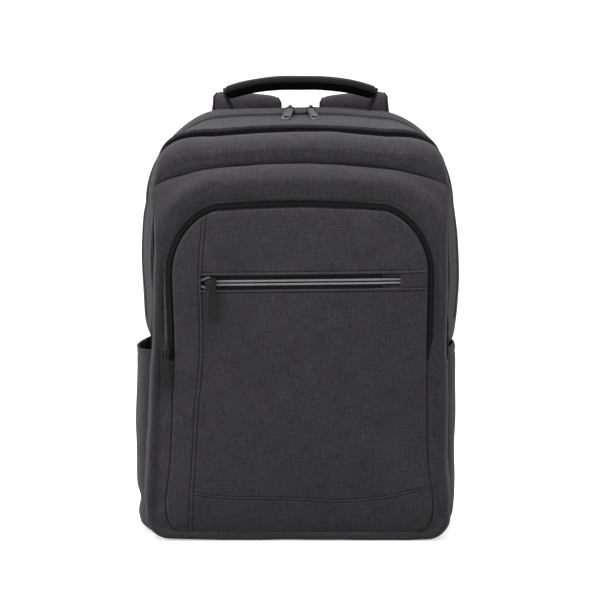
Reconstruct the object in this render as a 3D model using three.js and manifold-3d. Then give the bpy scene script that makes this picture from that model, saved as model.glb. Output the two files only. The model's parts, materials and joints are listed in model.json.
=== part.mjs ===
import * as THREE from "three";
import { mergeVertices } from "three/addons/utils/BufferGeometryUtils.js";
import Module from "manifold-3d";

// A laptop backpack standing on its base, in millimetres. Z is up and the front faces -Y.
// The origin is on the floor, under the main compartment.

const wasm = await Module();
wasm.setup();

// Body
const bodyHeight = 429;
const bodyWidth = 325;
const mainFront = -23;
const mainDepth = 89;
const pocketDepth = 53;
const lowCorner = 22;
const clothWall = 2.5;
const gap = 0.3;

// Back panel and shoulder straps
const backPanelThick = 9;
const strapWidth = 70;
const strapThick = 10;
const strapReach = 30;
const strapSpacing = 110;
const strapFoot = 150;
const webWidth = 25;
const webThick = 1.8;
const adjusterWidth = 34;
const adjusterHeight = 20;
const adjusterThick = 5;
const anchorWidth = 46;
const anchorHeight = 34;
const anchorThick = 2.4;
const anchorRise = 26;

// Front panel and its zipper
const sideBand = 37.5;
const crownBand = 98.5;
const panelHalf = bodyWidth / 2 - sideBand;
const panelTop = bodyHeight - crownBand;
const panelBottom = 9;
const panelCorner = 62;
const frontTape = 9.5;
const frontZipEnd = 181;
const frontSliderRise = 9;
const frontSliderHeight = frontZipEnd + frontSliderRise;

// Chest zipper
const chestMargin = 27;
const chestSliderInset = 10;
const chestHalf = panelHalf - chestMargin;
const chestHeight = 258.5;
const chestTape = 16;

// Main zipper
const mainZipPlace = 42;
const mainTape = 11;
const mainZipEnd = 215;
const mainSliderSpacing = 21;

// Side pockets
const sidePocketTop = 189;
const sidePocketFoot = 2.5;
const sidePocketLeft = 17.5;
const sidePocketRight = 11;
const sidePocketLength = 84;
const sidePocketWall = 2;

// Handle
const handleHalf = 79;
const handleRise = 31.6;
const handleTop = bodyHeight + handleRise;
const handleSag = 12;
const handleWidth = 30;
const coverThick = 7;
const padThick = 7.2;
const handlePlace = 75;
const legThick = 3;
const legWidth = 25;

// Sliders and pulls
const sliderLength = 11;
const sliderWidth = 8.6;
const sliderBase = 2.6;
const bridgeHeight = 6.7;
const bridgeThick = 1.4;
const bridgeWidth = 1.8;
const eyeHole = 1.5;
const eyeWall = 1.1;
const eyeLength = 3.6;
const pullThick = 1.6;
const mainPullLength = 25;
const mainPullWidth = 9;
const mainPullSplay = 4.5;
const chestPullLength = 36;
const chestPullWidth = 10.5;
const frontPullLength = 37;
const frontPullWidth = 8.6;
const frontSliderShare = 0.98;
const windowLength = 6.3;

// The main compartment from its front wall to its back rim. Depth is a share of mainDepth,
// half of half the body's width, top and cornerZ of its height, cornerX of the half width
// there, droop and rise of lowCorner.
const MAIN_SECTIONS = [
  { depth: 0.0, half: 0.893, top: 0.933, cornerX: 0.3, cornerZ: 0.105, droop: 0.2, rise: 0 },
  { depth: 0.03, half: 0.905, top: 0.944, cornerX: 0.31, cornerZ: 0.11, droop: 0.2, rise: 0 },
  { depth: 0.08, half: 0.92, top: 0.956, cornerX: 0.33, cornerZ: 0.125, droop: 0.16, rise: 0 },
  { depth: 0.18, half: 0.942, top: 0.966, cornerX: 0.37, cornerZ: 0.15, droop: 0.12, rise: 0 },
  { depth: 0.34, half: 0.968, top: 0.977, cornerX: 0.42, cornerZ: 0.18, droop: 0.08, rise: 0 },
  { depth: 0.54, half: 0.99, top: 0.988, cornerX: 0.46, cornerZ: 0.205, droop: 0.05, rise: 0 },
  { depth: 0.72, half: 1.0, top: 0.998, cornerX: 0.47, cornerZ: 0.215, droop: 0.04, rise: 0 },
  { depth: 0.86, half: 0.997, top: 0.999, cornerX: 0.47, cornerZ: 0.215, droop: 0.04, rise: 0.02 },
  { depth: 0.95, half: 0.982, top: 0.991, cornerX: 0.46, cornerZ: 0.21, droop: 0.04, rise: 0.1 },
  { depth: 1.0, half: 0.96, top: 0.979, cornerX: 0.45, cornerZ: 0.205, droop: 0.04, rise: 0.25 },
];

// The front pocket from its back rim to the edge of its face, in the same columns. Depth is a
// share of pocketDepth. The top falls in two rounded tiers with a crease between them.
const POCKET_SECTIONS = [
  { depth: 0.0, half: 0.896, top: 0.933, cornerX: 0.3, cornerZ: 0.105, droop: 0.2, rise: 0 },
  { depth: 0.06, half: 0.908, top: 0.938, cornerX: 0.31, cornerZ: 0.105, droop: 0.2, rise: 0 },
  { depth: 0.15, half: 0.912, top: 0.933, cornerX: 0.32, cornerZ: 0.105, droop: 0.22, rise: 0 },
  { depth: 0.24, half: 0.911, top: 0.921, cornerX: 0.34, cornerZ: 0.1, droop: 0.24, rise: 0 },
  { depth: 0.31, half: 0.908, top: 0.902, cornerX: 0.36, cornerZ: 0.095, droop: 0.26, rise: 0 },
  { depth: 0.355, half: 0.905, top: 0.881, cornerX: 0.38, cornerZ: 0.088, droop: 0.26, rise: 0 },
  { depth: 0.37, half: 0.903, top: 0.87, cornerX: 0.4, cornerZ: 0.085, droop: 0.24, rise: 0 },
  { depth: 0.47, half: 0.896, top: 0.867, cornerX: 0.41, cornerZ: 0.1, droop: 0.22, rise: 0 },
  { depth: 0.58, half: 0.886, top: 0.855, cornerX: 0.41, cornerZ: 0.12, droop: 0.18, rise: 0.04 },
  { depth: 0.67, half: 0.872, top: 0.834, cornerX: 0.42, cornerZ: 0.14, droop: 0.12, rise: 0.14 },
  { depth: 0.73, half: 0.856, top: 0.81, cornerX: 0.42, cornerZ: 0.155, droop: 0.06, rise: 0.27 },
  { depth: 0.765, half: 0.84, top: 0.791, cornerX: 0.42, cornerZ: 0.163, droop: 0.02, rise: 0.41 },
];

// The pocket's domed face: the edge's outline shrunk towards the face's middle.
const FACE_SECTIONS = [
  { depth: 0.8, size: 0.95 },
  { depth: 0.88, size: 0.76 },
  { depth: 0.95, size: 0.46 },
];
const faceCrown = 0.36 * bodyHeight;

// How a side's half width follows the height, in shares of both.
const MAIN_SIDES = [
  { height: 0.0, left: 0.905, right: 0.905 },
  { height: 0.3, left: 0.91, right: 0.91 },
  { height: 0.43, left: 0.915, right: 0.915 },
  { height: 0.448, left: 0.924, right: 0.924 },
  { height: 0.48, left: 0.964, right: 0.964 },
  { height: 0.56, left: 0.991, right: 0.994 },
  { height: 0.62, left: 1.0, right: 1.0 },
  { height: 0.68, left: 0.998, right: 0.992 },
  { height: 0.78, left: 0.978, right: 0.973 },
  { height: 1.0, left: 0.95, right: 0.95 },
];
const POCKET_SIDES = [
  { height: 0.0, left: 1.055, right: 0.99 },
  { height: 0.08, left: 1.063, right: 0.993 },
  { height: 0.2, left: 1.045, right: 0.995 },
  { height: 0.38, left: 1.02, right: 1.0 },
  { height: 0.62, left: 1.0, right: 1.0 },
  { height: 1.0, left: 0.99, right: 0.995 },
];
const PANEL_SIDES = [
  { height: 0.0, left: 1.04, right: 1.02 },
  { height: 0.09, left: 1.065, right: 1.045 },
  { height: 0.15, left: 1.04, right: 1.015 },
  { height: 0.21, left: 1.022, right: 1.0 },
  { height: 0.37, left: 1.0, right: 0.992 },
  { height: 0.44, left: 0.992, right: 0.992 },
  { height: 0.62, left: 1.008, right: 1.0 },
  { height: 1.0, left: 1.0, right: 1.0 },
];

// How far a side pocket stands out at each height, in shares of its height and of its bulge.
const SIDE_POCKET_SECTIONS = [
  { height: 0.0, left: 0.5, right: 0.4 },
  { height: 0.03, left: 0.82, right: 0.62 },
  { height: 0.09, left: 0.93, right: 0.8 },
  { height: 0.165, left: 0.83, right: 0.87 },
  { height: 0.25, left: 1.02, right: 0.9 },
  { height: 0.55, left: 1.05, right: 0.94 },
  { height: 0.86, left: 0.95, right: 0.86 },
  { height: 1.0, left: 0.97, right: 0.78 },
];

// The middle of the left strap: height as a share of the body's, out of strapReach,
// side as a share of half the body's width added to the spacing, width of strapWidth.
const STRAP_PATH = [
  { height: 0.9, out: 0.0, side: 0.0, width: 1.0 },
  { height: 0.96, out: 0.0, side: 0.0, width: 1.0 },
  { height: 1.0, out: 0.02, side: 0.0, width: 1.0 },
  { height: 1.018, out: 0.11, side: 0.0, width: 1.0 },
  { height: 1.024, out: 0.27, side: 0.0, width: 1.0 },
  { height: 1.014, out: 0.44, side: 0.0, width: 1.0 },
  { height: 0.98, out: 0.56, side: 0.01, width: 1.0 },
  { height: 0.9, out: 0.7, side: 0.04, width: 1.0 },
  { height: 0.78, out: 0.86, side: 0.12, width: 1.0 },
  { height: 0.64, out: 0.95, side: 0.22, width: 0.97 },
  { height: 0.5, out: 0.86, side: 0.3, width: 0.88 },
];

// Colours, roughness and metalness
const melange = { color: 0x39373a, roughness: 0.92, metalness: 0 };
const tapeBlack = { color: 0x1e1d1f, roughness: 0.8, metalness: 0 };
const binding = { color: 0x1b1a1c, roughness: 0.85, metalness: 0 };
const gripCloth = { color: 0x29282b, roughness: 0.85, metalness: 0 };
const gripBlack = { color: 0x0b0b0c, roughness: 0.8, metalness: 0 };
const blackMetal = { color: 0x161617, roughness: 0.45, metalness: 0.7 };
const gunmetal = { color: 0x66666a, roughness: 0.4, metalness: 0.8 };
const pullRubber = { color: 0x2b2a2c, roughness: 0.6, metalness: 0 };

const group = new THREE.Group();

// A value in a table of rows, straight between two rows.
function between(rows, key, at, column) {
  const last = rows.length - 1;
  let i = 0;
  while (i < last - 1 && rows[i + 1][key] < at) {
    i += 1;
  }
  const span = rows[i + 1][key] - rows[i][key];
  const t = Math.min(Math.max((at - rows[i][key]) / span, 0), 1);
  return rows[i][column] * (1 - t) + rows[i + 1][column] * t;
}

// Half of an upright outline: base, low corner, side, high corner and top, as [x, z] points.
function halfOutline(form, sides, column, grow) {
  const steps = { base: 3, low: 4, side: 6, high: 6, top: 3 };
  const widthAt = (z) => form.half * between(sides, "height", z / bodyHeight, column) + grow;
  const low = Math.max(form.low + grow, 1);
  const bottom = form.bottom - grow;
  const top = form.top + grow;
  const cornerX = form.cornerX * form.half + grow;
  const cornerZ = form.cornerZ + grow;
  const lowX = widthAt(bottom + low) - low;
  const highZ = top - form.droop - cornerZ;
  const points = [];
  for (let i = 0; i < steps.base; i++) {
    points.push([(lowX * i) / steps.base, bottom]);
  }
  for (let i = 0; i < steps.low; i++) {
    const turn = (Math.PI / 2) * (i / steps.low);
    points.push([lowX + low * Math.sin(turn), bottom + low * (1 - Math.cos(turn))]);
  }
  for (let i = 0; i < steps.side; i++) {
    const z = bottom + low + ((highZ - bottom - low) * i) / steps.side;
    points.push([widthAt(z), z]);
  }
  const highX = widthAt(highZ) - cornerX;
  const flat = 1.15;
  for (let i = 0; i <= steps.high; i++) {
    const turn = (Math.PI / 2) * (i / steps.high);
    const x = highX + cornerX * Math.cos(turn) ** flat;
    points.push([x, highZ + cornerZ * Math.sin(turn) ** flat]);
  }
  for (let i = 1; i <= steps.top; i++) {
    const t = i / steps.top;
    points.push([highX * (1 - t), top - form.droop * (1 - t) ** 2]);
  }
  return points;
}

// A whole outline, anticlockwise seen from the front.
function outline(form, sides, grow) {
  const right = halfOutline(form, sides, "right", grow);
  const left = halfOutline(form, sides, "left", grow);
  const back = left.slice(1, -1).reverse();
  return [...right, ...back.map(([x, z]) => [-x, z])];
}

// One table row in millimetres.
function formOf(row) {
  return {
    half: (row.half * bodyWidth) / 2,
    top: row.top * bodyHeight,
    bottom: row.rise * lowCorner,
    cornerX: row.cornerX,
    cornerZ: row.cornerZ * bodyHeight,
    low: lowCorner * (1 - 0.3 * row.rise),
    droop: row.droop * lowCorner,
  };
}

function ringAt(points, y) {
  return points.map(([x, z]) => new THREE.Vector3(x, y, z));
}

// Points and triangles as a solid whose faces point out.
function solidOf(points, faces) {
  let volume = 0;
  for (const [a, b, c] of faces) {
    volume += points[a].dot(new THREE.Vector3().crossVectors(points[b], points[c]));
  }
  const turned = volume > 0 ? faces : faces.map(([a, b, c]) => [a, c, b]);
  const mesh = new wasm.Mesh({
    numProp: 3,
    vertProperties: new Float32Array(points.flatMap((p) => [p.x, p.y, p.z])),
    triVerts: new Uint32Array(turned.flat()),
  });
  return new wasm.Manifold(mesh);
}

// A solid lofted through rings of equal count, with a fan to a middle point at each end.
function loft(rings, firstMiddle, lastMiddle) {
  const count = rings[0].length;
  const points = rings.flat();
  const faces = [];
  for (let r = 0; r + 1 < rings.length; r++) {
    for (let i = 0; i < count; i++) {
      const a = r * count + i;
      const b = r * count + ((i + 1) % count);
      faces.push([a, b, b + count]);
      faces.push([a, b + count, a + count]);
    }
  }
  const middles = [firstMiddle, lastMiddle];
  const starts = [0, (rings.length - 1) * count];
  for (let end = 0; end < 2; end++) {
    const ring = end === 0 ? rings[0] : rings[rings.length - 1];
    const middle = middles[end] ?? middleOf(ring);
    points.push(middle);
    const top = points.length - 1;
    for (let i = 0; i < count; i++) {
      const a = starts[end] + i;
      const b = starts[end] + ((i + 1) % count);
      faces.push(end === 0 ? [top, b, a] : [top, a, b]);
    }
  }
  return solidOf(points, faces);
}

function middleOf(ring) {
  const sum = new THREE.Vector3();
  ring.forEach((p) => sum.add(p));
  return sum.divideScalar(ring.length);
}

// A three.js geometry as a solid.
function solidFrom(geometry) {
  const bare = geometry.clone();
  bare.deleteAttribute("normal");
  bare.deleteAttribute("uv");
  const merged = mergeVertices(bare, 1e-4);
  const mesh = new wasm.Mesh({
    numProp: 3,
    vertProperties: new Float32Array(merged.attributes.position.array),
    triVerts: new Uint32Array(merged.index.array),
  });
  return new wasm.Manifold(mesh);
}

function geometryOf(solid) {
  const mesh = solid.getMesh();
  const geometry = new THREE.BufferGeometry();
  geometry.setAttribute("position", new THREE.BufferAttribute(mesh.vertProperties, 3));
  geometry.setIndex(new THREE.BufferAttribute(mesh.triVerts, 1));
  geometry.computeVertexNormals();
  return geometry;
}

function addPiece(name, solid, finish) {
  const mesh = new THREE.Mesh(geometryOf(solid), new THREE.MeshStandardMaterial(finish));
  mesh.name = name;
  group.add(mesh);
  return mesh;
}

function block(low, high) {
  const size = high.map((v, i) => v - low[i]);
  const geometry = new THREE.BoxGeometry(...size);
  geometry.translate(...low.map((v, i) => v + size[i] / 2));
  return solidFrom(geometry);
}

// All the space above a height.
function above(z) {
  return block([-bodyWidth, -bodyWidth, z], [bodyWidth, bodyWidth, 2 * bodyHeight]);
}

// A flat outline of [x, z] points pushed through the whole depth of the bag.
function prismOf(points) {
  const front = mainFront - pocketDepth - lowCorner;
  const back = mainFront;
  return loft([ringAt(points, front), ringAt(points, back)]);
}

// The first point of a solid that a straight line meets.
function firstHit(solid, from, direction) {
  const target = new THREE.Mesh(geometryOf(solid), new THREE.MeshBasicMaterial());
  target.material.side = THREE.DoubleSide;
  const ray = new THREE.Raycaster(from, direction);
  return ray.intersectObject(target)[0].point;
}

function topOf(solid, x, y) {
  const above = new THREE.Vector3(x, y, 2 * bodyHeight);
  return firstHit(solid, above, new THREE.Vector3(0, 0, -1)).z;
}

function frontOf(solid, x, z) {
  const before = new THREE.Vector3(x, -2 * bodyWidth, z);
  return firstHit(solid, before, new THREE.Vector3(0, 1, 0)).y;
}

// The highest, or the outermost front, point of a solid over a small rectangle.
function patch(u, v, halfU, halfV) {
  return [-1, 0, 1].flatMap((i) => [-1, -0.5, 0, 0.5, 1].map((j) => [u + i * halfU, v + j * halfV]));
}

function highestUnder(solid, x, y, halfX, halfY) {
  return Math.max(...patch(x, y, halfX, halfY).map(([u, v]) => topOf(solid, u, v)));
}

function lowestOver(solid, x, y, halfX, halfY) {
  const up = new THREE.Vector3(0, 0, 1);
  const from = patch(x, y, halfX, halfY).map(([u, v]) => new THREE.Vector3(u, v, -bodyHeight));
  return Math.min(...from.map((point) => firstHit(solid, point, up).z));
}

function foremostUnder(solid, x, z, halfX, halfZ) {
  return Math.min(...patch(x, z, halfX, halfZ).map(([u, v]) => frontOf(solid, u, v)));
}

// A strip swept along a smooth line, with chamfered edges. Across is its width's direction.
function strip(path, widths, thick, across, steps) {
  const curve = new THREE.CatmullRomCurve3(path, false, "centripetal");
  const rings = [];
  for (let i = 0; i <= steps; i++) {
    const t = i / steps;
    const at = curve.getPoint(t);
    const along = curve.getTangent(t);
    const wide = across.clone().addScaledVector(along, -across.dot(along)).normalize();
    const out = new THREE.Vector3().crossVectors(along, wide).normalize();
    const place = t * (widths.length - 1);
    const from = Math.min(Math.floor(place), widths.length - 2);
    const half = THREE.MathUtils.lerp(widths[from], widths[from + 1], place - from) / 2;
    const edge = Math.min(thick, 2 * half) * 0.3;
    const corners = [
      [half, -thick / 2 + edge],
      [half, thick / 2 - edge],
      [half - edge, thick / 2],
      [-half + edge, thick / 2],
      [-half, thick / 2 - edge],
      [-half, -thick / 2 + edge],
      [-half + edge, -thick / 2],
      [half - edge, -thick / 2],
    ];
    rings.push(corners.map(([u, v]) => at.clone().addScaledVector(wide, u).addScaledVector(out, v)));
  }
  return loft(rings);
}

// Main compartment

function mainForm(grow, openBack) {
  const rings = MAIN_SECTIONS.map((row, i) => {
    const last = i === MAIN_SECTIONS.length - 1;
    const y = mainFront - grow + row.depth * (mainDepth + grow);
    const past = last && openBack ? -4 * grow : 0;
    return ringAt(outline(formOf(row), MAIN_SIDES, grow), y + past);
  });
  return loft(rings);
}

const mainBack = mainFront + mainDepth;
const mainOuter = mainForm(0, false);
const mainSkin = mainOuter.subtract(mainForm(-clothWall, true));

// The band of the main zipper's tape, over the top and down both sides.
function mainBand(spare) {
  const from = mainFront + mainZipPlace - mainTape / 2 - spare;
  const to = from + mainTape + 2 * spare;
  return block([-bodyWidth, from, mainZipEnd - spare], [bodyWidth, to, 2 * bodyHeight]);
}

function makeMain() {
  addPiece("main_shell", mainSkin.subtract(mainBand(gap)), melange);
  addPiece("main_zipper", mainSkin.intersect(mainBand(0)), tapeBlack);
}

function makeBackPanel() {
  const row = MAIN_SECTIONS[MAIN_SECTIONS.length - 1];
  const insets = [
    { depth: 0.0, inset: 0.1 },
    { depth: 0.35, inset: 0.0 },
    { depth: 0.8, inset: 0.25 },
    { depth: 1.0, inset: 0.9 },
  ];
  const rings = insets.map((step) => {
    const y = mainBack + gap + step.depth * backPanelThick;
    return ringAt(outline(formOf(row), MAIN_SIDES, -step.inset * backPanelThick), y);
  });
  addPiece("back_panel", loft(rings), melange);
}

const backFace = mainBack + gap + backPanelThick;

// Front pocket

const pocketBack = mainFront - gap;
const faceRow = POCKET_SECTIONS[POCKET_SECTIONS.length - 1];

function pocketForm(grow, openBack) {
  const rings = POCKET_SECTIONS.map((row, i) => {
    const past = i === 0 && openBack ? -4 * grow : 0;
    const y = pocketBack - row.depth * pocketDepth - (i === 0 ? 0 : grow);
    return ringAt(outline(formOf(row), POCKET_SIDES, grow), y + past);
  });
  const edge = outline(formOf(faceRow), POCKET_SIDES, grow);
  for (const row of FACE_SECTIONS) {
    const shrunk = edge.map(([x, z]) => [x * row.size, faceCrown + (z - faceCrown) * row.size]);
    rings.push(ringAt(shrunk, pocketBack - row.depth * pocketDepth - grow));
  }
  const crown = new THREE.Vector3(0, pocketBack - pocketDepth - grow, faceCrown);
  return loft(rings, undefined, crown);
}

const pocketOuter = pocketForm(0, false);
const pocketSkin = pocketOuter.subtract(pocketForm(-clothWall, true));

// The front panel's outline, grown by the zipper's tape or a clearance.
function panelOutline(grow) {
  const form = {
    half: panelHalf,
    top: panelTop,
    bottom: panelBottom,
    cornerX: 0.384,
    cornerZ: panelCorner,
    low: lowCorner,
    droop: 0,
  };
  return outline(form, PANEL_SIDES, grow);
}

function chestBand(spare) {
  const low = [-chestHalf - spare, -bodyWidth, chestHeight - chestTape / 2 - spare];
  const high = [chestHalf + spare, mainFront, chestHeight + chestTape / 2 + spare];
  return block(low, high);
}

function makeFrontPocket() {
  const panel = prismOf(panelOutline(0));
  const hole = prismOf(panelOutline(gap));
  const tapeHole = prismOf(panelOutline(frontTape + gap)).intersect(above(frontZipEnd - gap));
  addPiece("front_pocket_shell", pocketSkin.subtract(hole).subtract(tapeHole), melange);
  const tape = prismOf(panelOutline(frontTape)).intersect(above(frontZipEnd));
  addPiece("front_zipper", pocketSkin.intersect(tape).subtract(hole), tapeBlack);
  addPiece("front_panel", pocketSkin.intersect(panel).subtract(chestBand(gap)), melange);
  addPiece("chest_zipper", pocketSkin.intersect(panel).intersect(chestBand(0)), tapeBlack);
}

// Side pockets

// A rounded pillow against one side of the body, grown or shrunk, as rings in height.
function sidePillow(side, bulge, column, grow, over) {
  const inner = (bodyWidth / 2) * MAIN_SIDES[0].left - lowCorner;
  const from = mainFront + 1.5 + (grow < 0 ? -grow : 0);
  const length = sidePocketLength + 2 * Math.min(grow, 0);
  const rows = SIDE_POCKET_SECTIONS;
  const rings = rows.map((row, i) => {
    const last = i === rows.length - 1;
    const lift = i === 0 ? Math.max(-grow, 0) : 0;
    const z = sidePocketFoot + lift + row.height * (sidePocketTop - sidePocketFoot);
    const body = (bodyWidth / 2) * between(MAIN_SIDES, "height", z / bodyHeight, column);
    const out = body + bulge * row[column] + grow;
    const ring = [new THREE.Vector3(side * inner, from, z + (last ? over : 0))];
    const arc = 9;
    for (let k = 0; k <= arc; k++) {
      const turn = Math.PI * (k / arc);
      const x = inner + (out - inner) * Math.sin(turn) ** 0.32;
      const y = from + (length * (1 - Math.cos(turn))) / 2;
      if (k > 0 && k < arc) {
        ring.push(new THREE.Vector3(side * x, y, z + (last ? over : 0)));
      }
    }
    ring.push(new THREE.Vector3(side * inner, from + length, z + (last ? over : 0)));
    return ring;
  });
  return loft(rings);
}

function makeSidePocket(name, side, bulge, column) {
  const outer = sidePillow(side, bulge, column, 0, 0);
  const inner = sidePillow(side, bulge, column, -sidePocketWall, 4 * sidePocketWall);
  const body = mainForm(gap, false);
  addPiece(name, outer.subtract(inner).subtract(body), melange);
}

// Handle

function handleHeight(x) {
  return handleTop - handleSag * (x / handleHalf) ** 2;
}

function handlePart(depthBelow, thick, width) {
  const path = [];
  const steps = 8;
  for (let i = 0; i <= steps; i++) {
    const x = handleHalf * ((2 * i) / steps - 1);
    const z = handleHeight(x) - depthBelow - thick / 2;
    path.push(new THREE.Vector3(x, mainFront + handlePlace, z));
  }
  return strip(path, [width * 0.9, width, width, width * 0.9], thick, new THREE.Vector3(0, 1, 0), 12);
}

function makeHandle() {
  const pad = handlePart(coverThick + gap, padThick, handleWidth - 2);
  addPiece("handle_cover", handlePart(0, coverThick, handleWidth), gripCloth);
  addPiece("handle_pad", pad, gripBlack);
  const y = mainFront + handlePlace;
  const foot = handleHalf - 3 * legThick;
  const lean = legThick;
  for (const side of [-1, 1]) {
    const low = side * foot;
    const high = side * (foot + lean);
    const ends = [
      { x: low, z: highestUnder(mainOuter, low, y, legThick / 2, legWidth / 2) + gap },
      { x: high, z: lowestOver(pad, high, y, legThick / 2, legWidth / 2) - gap },
    ];
    const rings = ends.map(({ x, z }) => [
      new THREE.Vector3(x - legThick / 2, y - legWidth / 2, z),
      new THREE.Vector3(x + legThick / 2, y - legWidth / 2, z),
      new THREE.Vector3(x + legThick / 2, y + legWidth / 2, z),
      new THREE.Vector3(x - legThick / 2, y + legWidth / 2, z),
    ]);
    addPiece(side < 0 ? "handle_leg_left" : "handle_leg_right", loft(rings), gripBlack);
  }
}

// Shoulder straps

const strapPlane = backFace + gap + strapThick / 2;

function strapPoint(row, side) {
  const x = side * (strapSpacing / 2 + (row.side * bodyWidth) / 2);
  return new THREE.Vector3(x, strapPlane + row.out * strapReach, row.height * bodyHeight);
}

function makeStrap(side, label) {
  const foot = { height: strapFoot / bodyHeight, out: 0.62, side: 0.34, width: 0.62 };
  const rows = [...STRAP_PATH, foot];
  const path = rows.map((row) => strapPoint(row, side));
  const widths = rows.map((row) => row.width * strapWidth);
  const across = new THREE.Vector3(1, 0, 0);
  const strap = strip(path, widths, strapThick, across, 26);
  addPiece("shoulder_strap_" + label, strap, melange);
  makeAdjuster(side, label, path[path.length - 1], strap.boundingBox().min[2]);
}

// The adjuster under the strap's foot, the webbing below it and the cloth tab that holds it.
function makeAdjuster(side, label, end, strapLow) {
  const top = strapLow - gap;
  const centre = new THREE.Vector3(end.x, end.y, top - adjusterHeight / 2);
  const frame = block(
    [-adjusterWidth / 2, -adjusterThick / 2, -adjusterHeight / 2],
    [adjusterWidth / 2, adjusterThick / 2, adjusterHeight / 2],
  );
  const slotHalf = webWidth / 2 + 1;
  const slotRise = adjusterHeight / 5;
  const slot = block([-slotHalf, -adjusterThick, -slotRise], [slotHalf, adjusterThick, slotRise]);
  const adjuster = addPiece("strap_adjuster_" + label, frame.subtract(slot), blackMetal);
  adjuster.position.copy(centre);

  const anchorTop = anchorRise + anchorHeight;
  const anchorX = end.x + side * webWidth * 0.5;
  const webTop = new THREE.Vector3(end.x, end.y, centre.z);
  const webFoot = new THREE.Vector3(anchorX, backFace + 2 * gap + anchorThick + webThick, anchorTop);
  const bend = new THREE.Vector3().lerpVectors(webTop, webFoot, 0.5);
  bend.y -= webThick;
  const path = [webTop, bend, webFoot];
  const across = new THREE.Vector3(1, 0, 0);
  const web = strip(path, [webWidth, webWidth], webThick, across, 6);
  const trim = above(centre.z - adjusterHeight / 2 - gap);
  addPiece("strap_web_" + label, web.subtract(trim), binding);

  const back = backFace + gap;
  const shape = new THREE.Shape();
  shape.moveTo(anchorX - anchorWidth / 2, anchorRise);
  shape.lineTo(anchorX + anchorWidth / 2, anchorRise);
  shape.lineTo(anchorX + webWidth / 2, anchorTop);
  shape.lineTo(anchorX - webWidth / 2, anchorTop);
  const plate = new THREE.ExtrudeGeometry(shape, { depth: anchorThick, bevelEnabled: false });
  plate.rotateX(Math.PI / 2);
  plate.translate(0, back + anchorThick, 0);
  addPiece("strap_anchor_" + label, solidFrom(plate), melange);
}

// Sliders and pulls

// A slider whose travel is local x, with its bridge over it and its base at local z = 0.
function sliderSolid() {
  const nose = new THREE.Shape();
  const half = sliderLength / 2;
  nose.moveTo(-half, -sliderWidth * 0.32);
  nose.lineTo(-half * 0.3, -sliderWidth / 2);
  nose.lineTo(half * 0.8, -sliderWidth / 2);
  nose.lineTo(half, -sliderWidth * 0.36);
  nose.lineTo(half, sliderWidth * 0.36);
  nose.lineTo(half * 0.8, sliderWidth / 2);
  nose.lineTo(-half * 0.3, sliderWidth / 2);
  nose.lineTo(-half, sliderWidth * 0.32);
  const base = new THREE.ExtrudeGeometry(nose, { depth: sliderBase, bevelEnabled: false });
  const reach = sliderLength * 0.42;
  const knee = bridgeThick * 0.9;
  const foot = sliderBase * 0.8;
  const inner = bridgeHeight - bridgeThick;
  const arch = new THREE.Shape();
  arch.moveTo(-reach, foot);
  arch.lineTo(-reach + bridgeThick, foot);
  arch.lineTo(-reach + bridgeThick, inner);
  arch.lineTo(reach - bridgeThick, inner);
  arch.lineTo(reach - bridgeThick, foot);
  arch.lineTo(reach, foot);
  arch.lineTo(reach, bridgeHeight - knee);
  arch.lineTo(reach - knee, bridgeHeight);
  arch.lineTo(-reach + knee, bridgeHeight);
  arch.lineTo(-reach, bridgeHeight - knee);
  const bridge = new THREE.ExtrudeGeometry(arch, { depth: bridgeWidth, bevelEnabled: false });
  bridge.rotateX(Math.PI / 2);
  bridge.translate(0, bridgeWidth / 2, 0);
  return solidFrom(base).add(solidFrom(bridge));
}

// A tab that hangs along local -y from a rolled eye round local x.
function eyePull(length, width, splay, slotted) {
  const outer = eyeHole + eyeWall;
  const ring = new THREE.Shape();
  ring.absarc(0, 0, outer, 0, 2 * Math.PI, false);
  const hole = new THREE.Path();
  hole.absarc(0, 0, eyeHole, 0, 2 * Math.PI, true);
  ring.holes.push(hole);
  const eye = new THREE.ExtrudeGeometry(ring, { depth: eyeLength, bevelEnabled: false, curveSegments: 14 });
  eye.rotateY(Math.PI / 2);
  eye.translate(-eyeLength / 2, 0, 0);
  const tab = new THREE.Shape();
  const neck = outer + 1.4;
  const end = 0.16 * width;
  tab.moveTo(-eyeLength / 2, -eyeHole - eyeWall / 2);
  tab.lineTo(-width / 2 + splay * 0.1, -neck);
  tab.lineTo(-width / 2 + splay, -length + end);
  tab.lineTo(-width / 2 + end + splay, -length);
  tab.lineTo(width / 2 - end + splay, -length);
  tab.lineTo(width / 2 + splay, -length + end);
  tab.lineTo(width / 2 + splay * 0.1, -neck);
  tab.lineTo(eyeLength / 2, -eyeHole - eyeWall / 2);
  if (slotted) {
    const slot = new THREE.Path();
    const half = width * 0.3;
    const low = -length * 0.84;
    const high = -length * 0.74;
    slot.moveTo(-half + splay * 0.8, low);
    slot.lineTo(-half + splay * 0.8, high);
    slot.lineTo(half + splay * 0.8, high);
    slot.lineTo(half + splay * 0.8, low);
    tab.holes.push(slot);
  }
  const plate = new THREE.ExtrudeGeometry(tab, { depth: pullThick, bevelEnabled: false });
  plate.translate(0, 0, -pullThick / 2);
  return solidFrom(eye).add(solidFrom(plate));
}

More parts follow.
